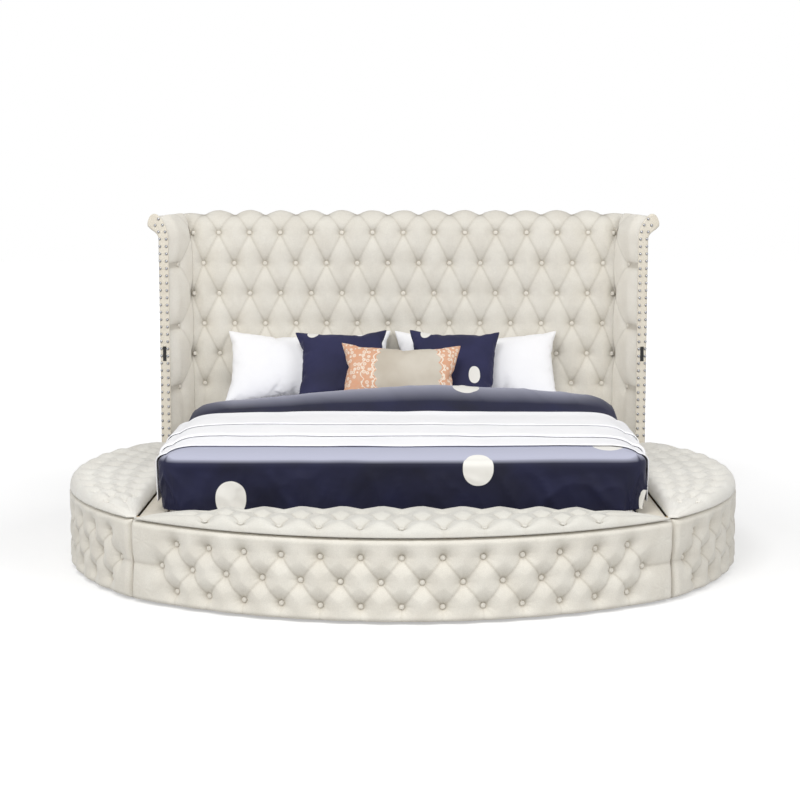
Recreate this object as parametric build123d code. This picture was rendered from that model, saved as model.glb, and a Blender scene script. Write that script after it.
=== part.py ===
from build123d import *
from math import acos, asin, cos, degrees, pi, radians, sin, sqrt
import os

# A round upholstered bed with storage benches around its foot and sides.
# Millimetres, +Z up, the foot faces -Y and the headboard stands at +Y.
# The origin is on the floor, under the middle of the bed.

# Mattress and the gaps round it
mattress_width = 1930.0
mattress_length = 2030.0
mattress_height = 255.0
mattress_corner = 90.0
platform_height = 300.0
bed_side_gap = 20.0
head_gap = 4.0

# Plan of the benches: the side panels lie on one circle, the foot panel on a flatter arc
side_ledge_width = 99.0
front_corner_overlap = 36.0
rear_bench_depth = 215.4
front_sag = 417.0
front_ledge_depth = 74.0

# Bench boxes
bench_height = 342.0
glide_height = 10.0
glide_radius = 14.0
panel_pad = 45.0
panel_board = 18.0
inner_board = 18.0
floor_board = 12.0
panel_board_count = 12
ledge_board = 18.0
joint_gap = 1.0
corner_gap = 7.0

# Lids and their hinges
lid_board = 15.0
lid_inset = 4.0
lid_rim = 24.0
lid_crown = 62.0
lid_tip = 12.0
lid_wrap = 24.0
side_lid_front_gap = 20.0
wing_lid_gap = 6.0
leaf_thickness = 2.0
leaf_length = 70.0
fixed_leaf_width = 26.0
lid_leaf_width = 30.0
knuckle_radius = 4.0
knuckle_sides = 12
pin_radius = 2.0
pin_clearance = 0.05
knuckle_gap = 0.4
hinge_edge_gap = 3.0
seat_clearance = 0.3

# Tufting
tuft_pitch = 163.0
panel_first_row_drop = 80.0
panel_row_pitch = 97.0
panel_row_count = 3
panel_top_gap = 4.0
head_pitch = 160.0
head_row_pitch = 157.0
crease_depth_share = 0.62
button_depth_share = 0.24
shoulder_place_share = 0.3
shoulder_share = 0.9
panel_end_share = 0.55
panel_edge_share = 0.5
front_lid_row_shares = (0.26, 0.52, 0.78)
side_lid_row_shares = (0.2, 0.4, 0.6, 0.8)
lid_shoulder_share = 0.8
lid_edge_row_share = 0.93
lid_taper_share = 1.6
button_radius = 11.0
button_height = 6.0
button_sides = 6

# Headboard and wings, each a slab that rolls over outwards at its top
head_corner_overlap = 29.0
head_pad_margin = 14.0
head_first_row_share = 0.22
crest_edge_share = 0.2
head_pad = 45.0
head_board = 30.0
wing_depth = 268.0
wing_splay = 16.0
wing_pad = 18.0
wing_pad_crown = 42.0
wing_board = 27.0
wing_cover = 8.0
wing_band = 7.0
wing_tuck = 20.0
wing_column_share = 0.55
wing_edge_share = 0.45
wing_crest_share = 0.7
roll_start_height = 1425.0
roll_inner_radius = 90.0
roll_angle = 50.0
wing_roll_radius = 104.0
back_cover = 4.0
head_foot = 10.0
nail_radius = 6.0
nail_height = 3.5
nail_pitch = 37.0
nail_edge = 9.0
nail_low = 425.0
nail_sides = 5
port_width = 18.0
port_height = 74.0
port_depth = 3.0
port_centre_height = 844.0

# Platform
slat_width = 68.0
slat_thickness = 20.0
slat_count = 13
rail_height = 90.0
rail_board = 20.0
leg_side = 45.0
leg_count = 3
front_glide_angles = (-27, -9, 9, 27)
side_glide_angles = (62, 80, 98, 114)
glide_sides = 8
head_glide_share = 0.8

# Bedding
duvet_side = 50.0
duvet_loft = 62.0
duvet_foot = 30.0
duvet_hem_gap = 20.0
duvet_length = 1690.0
duvet_fold = 9.0
duvet_shoulder_insets = (18.0, 70.0, 200.0)
duvet_shoulder_shares = (0.55, 0.88)
throw_start = 110.0
throw_layer_depths = (240.0, 290.0, 440.0)
throw_layer = 9.0
throw_hem_gap = 38.0
pillow_lean = 42.0
pillow_size = (850.0, 440.0, 170.0)
cushion_size = (450.0, 450.0, 120.0)
lumbar_size = (560.0, 300.0, 110.0)
pillow_centres = (-460.0, 395.0)
cushion_centres = (-312.0, 255.0)
lumbar_centre = -14.0
pillow_rest_share = 0.2
cushion_waist_share = 0.055
cushion_inset_shares = (0.21, 0.13, 0.055, 0.0)
cushion_level_shares = (1.0, 0.84, 0.52, 0.0)
bedding_gap = 1.0

# Worked-out places
overrun = mattress_length + mattress_width
rail_x = mattress_width / 2 + bed_side_gap
hinge_line_x = rail_x + side_ledge_width
front_half_width = hinge_line_x + front_corner_overlap
head_corner_x = hinge_line_x + head_corner_overlap
front_radius = (front_half_width ** 2 + front_sag ** 2) / (2 * front_sag)
roll_show_radius = roll_inner_radius + head_board + head_pad
head_core_radius = roll_inner_radius + head_board
roll_mid_radius = roll_inner_radius + head_board / 2
roll_swing = radians(roll_angle)
roll_back_share = 0.75
head_depth = (roll_show_radius - roll_mid_radius * cos(roll_swing) + head_board / 2
              + head_pad * roll_back_share)
total_depth = front_sag + front_ledge_depth + mattress_length + head_gap + head_depth
corner_y = front_sag - total_depth / 2
front_centre_y = corner_y - front_sag + front_radius
mattress_front_y = corner_y + front_ledge_depth
front_ledge_end = mattress_front_y - bed_side_gap / 2
head_y = mattress_front_y + mattress_length + head_gap
rear_y = head_y - wing_depth * cos(radians(wing_splay)) - seat_clearance
side_span = rear_y - corner_y
rear_half_width = hinge_line_x + rear_bench_depth
centre_to_line = (side_span + (rear_half_width ** 2 - front_half_width ** 2) / side_span) / 2
centre_y = corner_y + centre_to_line
outline_radius = sqrt(front_half_width ** 2 + centre_to_line ** 2)
mattress_top = platform_height + mattress_height
side_core_radius = outline_radius - panel_pad
front_core_radius = front_radius - panel_pad
inner_board_x = hinge_line_x - inner_board
box_bottom = glide_height + floor_board
leaf_bottom = bench_height
lid_bottom = leaf_bottom + leaf_thickness + seat_clearance
hinge_z = leaf_bottom + knuckle_radius
panel_pad_top = bench_height - panel_top_gap
duvet_hem_height = bench_height + duvet_hem_gap
throw_hem_height = bench_height + throw_hem_gap
core_top = lid_bottom - seat_clearance
wing_total = wing_pad + wing_board + wing_cover

os.makedirs("parts", exist_ok=True)
nodes = {}


def keep(name, *shapes):
    """Files one node under its name: a single solid, or a group of separate ones."""
    solids = [solid for shape in shapes for solid in shape.solids()]
    nodes[name] = solids[0] if len(solids) == 1 else Compound(solids)
    return nodes[name]


def mirrored(shape):
    return mirror(shape, about=Plane.YZ)


def largest(shape):
    """The main solid of a cut, without the offcuts."""
    return max(shape.solids(), key=lambda solid: solid.volume)


def keep_both(name, *shapes):
    """Files the right-hand pieces and their mirror images together."""
    keep(name, *shapes, *[mirrored(shape) for shape in shapes])


def keep_pair(name, *shapes):
    """Files the right-hand piece and its mirror image on the left."""
    keep("right_" + name, *shapes)
    keep("left_" + name, *[mirrored(shape) for shape in shapes])


def polyhedron(faces):
    """A closed solid from flat faces, each given as its corner points."""
    outline = [Face(Wire.make_polygon([Vector(*p) for p in face], close=True)) for face in faces]
    solid = Solid(Shell(outline))
    return solid if solid.volume > 0 else Solid(Shell([-face for face in outline]))


def stacked(rings):
    """A closed solid through a stack of rings that have the same number of points."""
    faces = [rings[0][::-1], rings[-1]]
    for low, high in zip(rings, rings[1:]):
        for k in range(len(low)):
            n = (k + 1) % len(low)
            faces += [(low[k], low[n], high[n]), (low[k], high[n], high[k])]
    return polyhedron(faces)


def faceted_dome(plane, radius, height, sides):
    """A low dome on a plane: a flat base and one facet from each side up to the crown."""
    ring = [tuple(plane.from_local_coords(Vector(radius * cos(2 * pi * k / sides),
                                                 radius * sin(2 * pi * k / sides), 0)))
            for k in range(sides)]
    top = tuple(plane.from_local_coords(Vector(0, 0, height)))
    return polyhedron([ring[::-1]] + [(ring[k], ring[(k + 1) % sides], top)
                                      for k in range(sides)])


# Tufted pads: columns and rows are (position, lattice number or None, rim kind)

def tuft_height(column, row, near_column, near_row, crown, odd):
    """Height of the pad's face where a column and a row cross."""
    if column[1] is not None and row[1] is not None:
        button = (column[1] + row[1]) % 2 == odd
        return crown * button_depth_share if button else crown * min(column[2], row[2])
    pleat = ((near_column if column[1] is None else column[1])
             + (near_row if row[1] is None else row[1])) % 2 == odd
    corner = column[1] is None and row[1] is None
    share = min(column[2], row[2])
    return crown * share * (crease_depth_share if pleat and not corner else 1)


def tuft_grid(columns, rows, crown, odd, place):
    """Corner points of the pad's face, and the low middle of each crossing crease."""
    first_column = next(c[1] for c in columns if c[1] is not None)
    last_column = next(c[1] for c in reversed(columns) if c[1] is not None)
    first_row = next(r[1] for r in rows if r[1] is not None)
    last_row = next(r[1] for r in reversed(rows) if r[1] is not None)
    points, heights = [], []
    for i, column in enumerate(columns):
        near_column = first_column if i < len(columns) / 2 else last_column
        line, line_heights = [], []
        for j, row in enumerate(rows):
            near_row = first_row if j < len(rows) / 2 else last_row
            height = tuft_height(column, row, near_column, near_row, crown, odd)
            line.append(place(column[0], row[0], height))
            line_heights.append(height)
        points.append(line)
        heights.append(line_heights)
    return points, heights


def tufted_faces(columns, rows, crown, odd, place):
    """The sewn face of a pad: four triangles in each quarter diamond, two in each rim cell."""
    points, heights = tuft_grid(columns, rows, crown, odd, place)
    faces = []
    for i in range(len(columns) - 1):
        for j in range(len(rows) - 1):
            ring = (points[i][j], points[i + 1][j], points[i + 1][j + 1], points[i][j + 1])
            lattice = all(line[1] is not None for line in (*columns[i:i + 2], *rows[j:j + 2]))
            if lattice:
                level = crown * crease_depth_share * min(columns[i][2], columns[i + 1][2],
                                                         rows[j][2], rows[j + 1][2])
                middle = place((columns[i][0] + columns[i + 1][0]) / 2,
                               (rows[j][0] + rows[j + 1][0]) / 2, level)
                faces += [(ring[k], ring[(k + 1) % 4], middle) for k in range(4)]
            else:
                rising = heights[i][j] + heights[i + 1][j + 1]
                falling = heights[i + 1][j] + heights[i][j + 1]
                first = 0 if rising < falling else 1
                a, b, c, d = (ring[(first + k) % 4] for k in range(4))
                faces += [(a, b, c), (a, c, d)]
    return points, faces


def button(centre, outward, rise):
    """A covered button: a low faceted dome, seated just above the stitched point."""
    plane = Plane(origin=centre + outward * rise, z_dir=outward)
    return faceted_dome(plane, button_radius, button_height, button_sides)


def buttons_on(columns, rows, crown, odd, place):
    """A button at each stitched point, resting on the slopes of its dimple."""
    points, heights = tuft_grid(columns, rows, crown, odd, place)
    found = []
    for i in range(1, len(columns) - 1):
        for j in range(1, len(rows) - 1):
            column, row = columns[i], rows[j]
            if column[1] is None or row[1] is None:
                continue
            if (column[1] + row[1]) % 2 != odd:
                continue
            seat = Vector(*points[i][j])
            outward = (Vector(*place(column[0], row[0], heights[i][j] + button_radius))
                       - seat).normalized()
            slope = 0
            for m, n in ((i - 1, j), (i + 1, j), (i, j - 1), (i, j + 1)):
                step = Vector(*points[m][n]) - seat
                climb = step.dot(outward)
                slope = max(slope, climb / (step - outward * climb).length)
            found.append(button(seat, outward, button_radius * slope + seat_clearance))
    return found


# Curved panels of the benches

def ring_sector(radius, thickness, centre, height, bottom):
    """A round wall that the caller trims to length."""
    wall = Pos(0, centre, bottom) * (Cylinder(radius, height, align=(Align.CENTER, Align.CENTER,
                                                                   Align.MIN))
                                     - Cylinder(radius - thickness, height,
                                                align=(Align.CENTER, Align.CENTER, Align.MIN)))
    return wall


def block(x_low, x_high, y_low, y_high, z_low, z_high):
    """A rectangular board between six faces."""
    return Pos((x_low + x_high) / 2, (y_low + y_high) / 2, (z_low + z_high) / 2) * Box(
        x_high - x_low, y_high - y_low, z_high - z_low)


def in_lengths(wall, centre, arc_low, arc_high):
    """Cuts a bent wall board into equal lengths that butt against each other."""
    step = (arc_high - arc_low) / panel_board_count
    found = []
    for k in range(panel_board_count):
        ends = [(overrun * sin(a), centre - overrun * cos(a), 0)
                for a in (arc_low + k * step, arc_low + (k + 1) * step)]
        wedge = extrude(make_face(Polyline((0, centre, 0), *ends, close=True)), core_top)
        found += (wall & wedge).solids()
    return found


def front_lens(radius, y_back, z_low, z_high):
    """The space between the foot panel's arc and a straight back line."""
    disc = Pos(0, front_centre_y, z_low) * Cylinder(
        radius, z_high - z_low, align=(Align.CENTER, Align.CENTER, Align.MIN))
    return disc & block(-overrun, overrun, corner_y - 2 * front_sag, y_back, z_low, z_high)


def side_segment(radius, x_inner, y_front, y_rear, z_low, z_high):
    """The space between the side panel's circle and a straight inner line."""
    disc = Pos(0, centre_y, z_low) * Cylinder(
        radius, z_high - z_low, align=(Align.CENTER, Align.CENTER, Align.MIN))
    return disc & block(x_inner, overrun, y_front, y_rear, z_low, z_high)


def half_steps(half_length, margin):
    """Lattice columns at half pitches, numbered from the middle, up to a margin."""
    count = int((half_length - margin) / (tuft_pitch / 2))
    return [(k * tuft_pitch / 2, k, 1.0) for k in range(-count, count + 1)]


def with_rims(lines, low, high, edge, shoulder):
    """Adds a shoulder and an edge row or column at each end of the lattice."""
    first, last = lines[0][0], lines[-1][0]
    return ([(low, None, edge), (low + (first - low) * shoulder_place_share, None, shoulder)]
            + lines
            + [(high - (high - last) * shoulder_place_share, None, shoulder),
               (high, None, edge)])


def panel_pad_solid(radius, centre, arc_low, arc_high, core):
    """A tufted pad on a round wall, and its buttons."""
    middle = (arc_low + arc_high) / 2
    length = (arc_high - arc_low) * radius / 2
    columns = [(middle + u / radius, n, s) for u, n, s in half_steps(length, tuft_pitch / 2)]
    columns = with_rims(columns, arc_low, arc_high, panel_end_share, shoulder_share)
    rows = [(bench_height - panel_first_row_drop - k * panel_row_pitch, k, 1.0)
            for k in range(panel_row_count)]
    rows = with_rims(rows, panel_pad_top, glide_height, panel_edge_share, shoulder_share)
    base = radius - panel_pad

    def place(angle, z, height):
        reach = base + height
        return (reach * sin(angle), centre - reach * cos(angle), z)

    points, faces = tufted_faces(columns, rows, panel_pad, 0, place)
    back = panel_board / 2
    top = [place(c[0], rows[0][0], -back) for c in columns]
    low = [place(c[0], rows[-1][0], -back) for c in columns]
    faces.append([line[0] for line in points] + top[::-1])
    faces.append([line[-1] for line in points] + low[::-1])
    for k in (0, -1):
        faces.append(points[k] + [low[k], top[k]])
    for k in range(len(columns) - 1):
        faces.append((top[k], top[k + 1], low[k + 1], low[k]))
    pad = polyhedron(faces) - core
    return pad, buttons_on(columns, rows, panel_pad, 0, place)


def make_front_bench():
    """The foot bench: a curved panel, back board, floor and the fixed ledge behind its lid."""
    back_line = corner_y - joint_gap
    height = core_top - glide_height
    shell = ring_sector(front_core_radius, panel_board, front_centre_y, height, glide_height)
    keep_space = block(-overrun, overrun, corner_y - 2 * front_sag, back_line,
                       glide_height, core_top)
    board_end = asin(front_half_width / front_core_radius)
    keep("front_panel_board", *in_lengths(shell & keep_space, front_centre_y, -board_end,
                                          board_end))
    inner_radius = front_core_radius - panel_board
    keep("front_bench_back", front_lens(inner_radius, back_line, glide_height, bench_height
                                        - ledge_board)
         - front_lens(inner_radius, back_line - inner_board, glide_height, bench_height))
    keep("front_bench_floor", front_lens(inner_radius, back_line - inner_board, glide_height,
                                         box_bottom))
    half_arc = asin(front_half_width / front_radius) - corner_gap / front_radius
    pad, buttons = panel_pad_solid(front_radius, front_centre_y, -half_arc, half_arc,
                                   shell + side_core_wall())
    keep("front_panel_pad", pad)
    keep("front_panel_buttons", *buttons)
    board_top = bench_height - ledge_board
    over_back = front_lens(inner_radius - joint_gap, back_line, board_top, bench_height) - block(
        -overrun, overrun, corner_y - 2 * front_sag, back_line - inner_board, 0, bench_height)
    behind = block(-inner_board_x, inner_board_x, back_line, front_ledge_end, board_top,
                   bench_height) & (Pos(0, front_centre_y, board_top) * Cylinder(
                       front_core_radius - joint_gap, ledge_board,
                       align=(Align.CENTER, Align.CENTER, Align.MIN)))
    keep("front_ledge", over_back + behind)


def side_core_wall():
    """The two side walls as one rough ring, used to trim the foot pad's back."""
    return side_segment(side_core_radius, inner_board_x, corner_y, centre_y, glide_height,
                        core_top) + mirrored(side_segment(side_core_radius, inner_board_x,
                                                          corner_y, centre_y, glide_height,
                                                          core_top))


def make_side_bench():
    """A side bench: a curved panel, inner board, rear end, floor and the ledge by the bed."""
    front_end = corner_y + joint_gap
    inner_radius = side_core_radius - panel_board
    core = (side_segment(side_core_radius, inner_board_x, front_end, rear_y, glide_height,
                         core_top)
            - side_segment(inner_radius, inner_board_x - joint_gap, front_end - joint_gap,
                           rear_y + joint_gap, glide_height, core_top))
    board_top = bench_height - ledge_board
    inner = side_segment(inner_radius, inner_board_x, front_end, rear_y, glide_height,
                         board_top) & block(inner_board_x, hinge_line_x, front_end, rear_y,
                                            glide_height, board_top)
    end = side_segment(inner_radius, hinge_line_x, rear_y - inner_board, rear_y, glide_height,
                       core_top)
    floor = side_segment(inner_radius, hinge_line_x, front_end, rear_y - inner_board,
                         glide_height, box_bottom)
    board_start = acos((centre_y - front_end) / inner_radius)
    board_finish = acos((centre_y - rear_y) / inner_radius)
    keep_pair("panel_board", *in_lengths(core, centre_y, board_start, board_finish))
    keep_both("bench_inner_boards", inner)
    keep_both("bench_end_boards", end)
    keep_pair("bench_floor", floor)
    start = asin(front_half_width / outline_radius) + corner_gap / outline_radius
    finish = acos((centre_y - rear_y) / outline_radius)
    pad, buttons = panel_pad_solid(outline_radius, centre_y, start, finish, core)
    pad = pad & block(0, overrun, corner_y - front_sag, rear_y, 0, bench_height)
    keep_pair("panel_pad", pad)
    keep_both("side_panel_buttons", *buttons)
    ledge = block(rail_x, hinge_line_x, front_ledge_end + joint_gap, rear_y, board_top,
                  bench_height)
    tongue = block(inner_board_x + joint_gap, hinge_line_x, front_end, front_ledge_end
                   + joint_gap, board_top, bench_height)
    room = side_segment(inner_radius - joint_gap, 0, front_end, rear_y, board_top, bench_height)
    keep_both("side_ledges", (ledge + tongue) & room)


# Lids

def lid_pad(columns, rows, outline, board, odd):
    """A crowned, tufted cushion with a flat base, wrapped round its board."""

    def place(u, v, height):
        x, y, fullness = outline(u, v)
        level = lid_tip + (height - lid_tip) * fullness
        return (x, y, lid_bottom + level)

    points, faces = tufted_faces(columns, rows, lid_crown, odd, place)
    rim = ([line[0] for line in points] + points[-1][1:]
           + [line[-1] for line in reversed(points[:-1])] + points[0][-2:0:-1])
    foot = [(x, y, lid_bottom) for x, y, z in rim]
    for k in range(len(rim)):
        n = (k + 1) % len(rim)
        faces.append((rim[k], rim[n], foot[n], foot[k]))
    faces.append(foot)
    return polyhedron(faces) - board, buttons_on(columns, rows, lid_crown, odd, place)


def lid_rows(places):
    """Button rows by their share of the lid's depth, a little lower at both edges."""
    last = len(places) - 1
    return [(place, k, lid_edge_row_share if k in (0, last) else 1)
            for k, place in enumerate(places)]


def make_front_lid():
    """The foot lid: lens-shaped, with three staggered button rows that follow its front."""
    radius = front_radius - lid_inset
    back = corner_y - knuckle_radius - hinge_edge_gap
    tip_x = sqrt(radius ** 2 - (front_centre_y - back) ** 2) - lid_tip
    tip = asin(tip_x / radius)
    board = front_lens(radius - lid_wrap, back - lid_wrap, lid_bottom, lid_bottom + lid_board)
    keep("front_lid_board", board)
    rim_share = lid_rim / lid_crown
    columns = [(u / radius, n, s) for u, n, s in half_steps(tip * radius, 3 * tuft_pitch / 2)]
    columns = ([(-tip, None, rim_share)] + columns + [(tip, None, rim_share)])
    rows = with_rims(lid_rows(front_lid_row_shares), 0, 1, rim_share, lid_shoulder_share)

    def outline(u, v):
        x = radius * sin(u)
        front = front_centre_y - radius * cos(u)
        depth_share = (back - front) / (back - (front_centre_y - radius))
        return x, back + (front - back) * v, min(1.0, depth_share * lid_taper_share)

    pad, buttons = lid_pad(columns, rows, outline, board, 0)
    keep("front_lid_pad", pad)
    keep("front_lid_buttons", *buttons)


def make_side_lid():
    """A side lid: a circle segment with a straight inner edge and soft tufts."""
    radius = outline_radius - lid_inset
    inner = hinge_line_x + knuckle_radius + hinge_edge_gap
    y_front = corner_y + side_lid_front_gap
    y_rear = rear_y - wing_lid_gap
    board = side_segment(radius - lid_wrap, inner + lid_wrap, y_front + 2 * lid_wrap,
                         y_rear - lid_wrap, lid_bottom, lid_bottom + lid_board)
    keep_pair("lid_board", board)
    start = acos((centre_y - y_front) / radius)
    finish = acos((centre_y - y_rear) / radius)
    middle = (start + finish) / 2
    rim_share = lid_rim / lid_crown
    length = (finish - start) * radius / 2
    columns = [(middle + u / radius, n, s) for u, n, s in half_steps(length, 3 * tuft_pitch / 2)]
    columns = with_rims(columns, start, finish, rim_share, lid_shoulder_share)
    rows = with_rims(lid_rows(side_lid_row_shares), 0, 1, rim_share, lid_shoulder_share)
    widest = radius - inner

    def outline(u, v):
        y = centre_y - radius * cos(u)
        outer = radius * sin(u)
        depth_share = (outer - inner) / widest
        return inner + (outer - inner) * v, y, min(1.0, depth_share * lid_taper_share)

    pad, buttons = lid_pad(columns, rows, outline, board, 0)
    keep_pair("lid_pad", pad)
    keep_pair("lid_buttons", *buttons)


def hinge_set(places, towards_lid, along):
    """Lift-off hinges along one line: a fixed leaf with its pin, and a leaf that turns on it."""
    fixed, moving, pins = [], [], []
    half = leaf_length / 2
    for origin in places:
        plane = Plane(origin=origin, x_dir=towards_lid, z_dir=along)
        drop = plane.y_dir.dot(Vector(0, 0, 1)) * (leaf_thickness / 2 - knuckle_radius)
        outline = RegularPolygon(knuckle_radius, knuckle_sides)
        knuckle = extrude(outline, half - knuckle_gap)
        room = Cylinder(knuckle_radius + knuckle_gap, leaf_length)
        seat = knuckle + Pos(-fixed_leaf_width / 2, drop, 0) * Box(
            fixed_leaf_width, leaf_thickness, leaf_length) - Pos(0, 0, -half) * room
        turning = mirror(knuckle, about=Plane.XY) + Pos(lid_leaf_width / 2, drop, 0) * Box(
            lid_leaf_width, leaf_thickness, leaf_length) - Pos(0, 0, half) * room
        bore = Cylinder(pin_radius + pin_clearance, leaf_length * 2)
        fixed.append(plane * seat)
        moving.append(plane * (turning - bore))
        pins.append(plane * (Pos(0, 0, -half) * Cylinder(
            pin_radius, half, align=(Align.CENTER, Align.CENTER, Align.MIN))))
    return fixed, moving, pins


def make_hinges():
    """Three hinges under the foot lid's straight edge and two under each side lid's."""
    front_places = [Vector(x, corner_y, hinge_z)
                    for x in (-front_half_width / 2, 0, front_half_width / 2)]
    fixed, moving, pins = hinge_set(front_places, (0, -1, 0), (1, 0, 0))
    keep("front_lid_leaves", *moving)
    reach = (rear_y - corner_y) / 3
    side_places = [Vector(hinge_line_x, centre_y + k * reach / 2, hinge_z) for k in (-1, 1)]
    side_fixed, side_moving, side_pins = hinge_set(side_places, (1, 0, 0), (0, 1, 0))
    keep_pair("lid_leaves", *side_moving)
    for name, front, side in (("hinge_leaves", fixed, side_fixed),
                              ("hinge_pins", pins, side_pins)):
        keep(name, *front, *side, *[mirrored(shape) for shape in side])


# Headboard and wings

def rolled_profile(inner, outer, foot):
    """A slab's section from its show face to its back, rolled over at the top."""
    centre = (roll_show_radius, roll_start_height)
    swing = roll_swing

    def at(radius, angle):
        return (centre[0] - radius * cos(angle), centre[1] + radius * sin(angle))

    middle = (inner + outer) / 2
    cap = (outer - inner) / 2
    tip = at(middle, swing)
    crest = (tip[0] + cap * sin(swing), tip[1] + cap * cos(swing))
    path = (Line((centre[0] - outer, foot), (centre[0] - outer, centre[1]))
            + ThreePointArc(at(outer, 0), at(outer, swing / 2), at(outer, swing))
            + ThreePointArc(at(outer, swing), crest, at(inner, swing))
            + ThreePointArc(at(inner, swing), at(inner, swing / 2), at(inner, 0))
            + Line(at(inner, 0), (centre[0] - inner, foot))
            + Line((centre[0] - inner, foot), (centre[0] - outer, foot)))
    return make_face(path)


def head_path(travel):
    """Point and outward direction on the headboard's board, by travel from the floor."""
    swing = roll_swing
    cap = head_board / 2
    straight = roll_start_height
    bend = head_core_radius * swing
    if travel <= straight:
        return head_pad, travel, (-1.0, 0.0)
    if travel <= straight + bend:
        angle = (travel - straight) / head_core_radius
        return (roll_show_radius - head_core_radius * cos(angle),
                roll_start_height + head_core_radius * sin(angle), (-cos(angle), sin(angle)))
    turn = (travel - straight - bend) / cap
    centre = (roll_show_radius - roll_mid_radius * cos(swing),
              roll_start_height + roll_mid_radius * sin(swing))
    facing = pi - swing - turn
    return (centre[0] + cap * cos(facing), centre[1] + cap * sin(facing),
            (cos(facing), sin(facing)))


def head_rows():
    """Rows of the tufting, from the crest down, as travel along the board."""
    swing = roll_swing
    bend = head_core_radius * swing
    crest = roll_start_height + bend + head_board / 4
    first = roll_start_height + bend * head_first_row_share
    low = [(first - k * head_row_pitch, k + 1, 1.0) for k in range(6)]
    return [(crest, 0, 1.0)] + low


def head_columns():
    """Number of the column in the corner, counted in half pitches from the middle."""
    return int((head_corner_x - head_pad_margin) / (head_pitch / 2)) + 1


def head_prism(profile, x_low, x_high):
    """Sweeps a headboard section along X."""
    plane = Plane(origin=(x_low, head_y, 0), x_dir=(0, 1, 0), z_dir=(1, 0, 0))
    return extrude(plane * profile, x_high - x_low)


def make_headboard(wing_room):
    """The tall board between the wings, its tufted pad, buttons and plain back cover."""
    core_profile = rolled_profile(roll_inner_radius, head_core_radius, head_foot)
    wide = head_corner_x + wing_total
    core = largest(head_prism(core_profile, -wide, wide) - wing_room)
    keep("headboard_board", core)
    half = head_corner_x - head_pad_margin
    last = head_columns()
    columns = [(k * head_pitch / 2 if abs(k) < last else k / last * half, k, 1.0)
               for k in range(-last, last + 1)]
    lattice = head_rows()
    cap_start = roll_start_height + head_core_radius * roll_swing
    cap_end = cap_start + pi * head_board / 2
    cap_back = cap_start + (pi - roll_swing) * head_board / 2
    rows = ([(cap_end, None, crest_edge_share), (cap_back, None, roll_back_share)] + lattice
            + [(platform_height + mattress_height / 3, None, shoulder_share),
               (platform_height + head_foot, None, panel_edge_share)])

    def place(x, travel, height):
        p, z, facing = head_path(travel)
        return (x, head_y + p + facing[0] * height, z + facing[1] * height)

    points, faces = tufted_faces(columns, rows, head_pad, 1, place)
    sunk = -head_board / 2
    back = [[place(side, row[0], sunk) for row in rows] for side in (-half, half)]
    for k, line in ((0, back[0]), (-1, back[1])):
        faces.append(points[k] + line[::-1])
    for j in (0, -1):
        faces.append([line[j] for line in points] + [back[1][j], back[0][j]])
    for j in range(len(rows) - 1):
        faces.append((back[0][j], back[1][j], back[1][j + 1], back[0][j + 1]))
    pad = polyhedron(faces) - core
    keep("headboard_pad", largest(pad))
    keep("headboard_buttons", *buttons_on(columns, rows, head_pad, 1, place))
    cover_profile = (rolled_profile(roll_inner_radius - back_cover, roll_inner_radius, head_foot)
                     & Pos(roll_show_radius, roll_start_height / 2) * Rectangle(
                         2 * roll_inner_radius, roll_start_height))
    keep("headboard_back_cover", largest(head_prism(cover_profile, -wide, wide) - wing_room))


def wing_profile(near, far, foot):
    """A wing's section in its own plane: near and far are distances from its inner face."""
    centre_p = wing_total + wing_roll_radius
    inner, outer = centre_p - far, centre_p - near
    swing = roll_swing

    def at(radius, angle):
        return (centre_p - radius * cos(angle), roll_start_height + radius * sin(angle))

    cap = (outer - inner) / 2
    tip = at((inner + outer) / 2, swing)
    crest = (tip[0] + cap * sin(swing), tip[1] + cap * cos(swing))
    path = (Line((near, foot), (near, roll_start_height))
            + ThreePointArc(at(outer, 0), at(outer, swing / 2), at(outer, swing))
            + ThreePointArc(at(outer, swing), crest, at(inner, swing))
            + ThreePointArc(at(inner, swing), at(inner, swing / 2), at(inner, 0))
            + Line(at(inner, 0), (far, foot))
            + Line((far, foot), (near, foot)))
    return make_face(path)


def wing_plane(reach):
    """The right wing's section plane, at a reach forward of the headboard's corner."""
    splay = radians(wing_splay)
    forward = Vector(sin(splay), -cos(splay), 0)
    origin = Vector(head_corner_x, head_y, 0) + forward * reach
    return Plane(origin=origin, x_dir=(cos(splay), sin(splay), 0), z_dir=forward)


def wing_prism(profile, reach_low, reach_high):
    return extrude(wing_plane(reach_low) * profile, reach_high - reach_low)


def wing_point(reach, inset, z):
    """World point at a reach forward and a distance outward of the wing's inner face."""
    return tuple(wing_plane(reach).from_local_coords(Vector(inset, z, 0)))


def make_wings():
    """Each wing: board, inner tufted pad, outer cover, front band, nails and a power port."""
    tail = -(head_pad + head_board) / cos(radians(wing_splay))
    front = wing_depth - wing_band
    board_profile = wing_profile(wing_pad, wing_pad + wing_board, head_foot)
    board = wing_prism(board_profile, tail, front)
    outer_profile = wing_profile(wing_pad, wing_total, head_foot)
    cover = wing_prism(outer_profile, tail, front) - wing_prism(board_profile, tail - wing_band,
                                                               front + wing_band)
    whole = wing_profile(0, wing_total, head_foot)
    band = wing_prism(whole, front, wing_depth)
    port_slot = wing_port()
    keep_pair("wing_board", board)
    keep_pair("wing_outer_cover", largest(cover))
    keep_pair("wing_front_band", band - port_slot)
    keep_both("power_ports", port_slot)
    keep_both("wing_nailheads", *nailheads())
    pad, buttons = wing_pad_solid(front, board, cover)
    keep_pair("wing_pad", pad)
    keep_both("wing_buttons", *buttons)
    room = wing_prism(outer_profile, 2 * tail, wing_depth)
    return room + mirrored(room)


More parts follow.
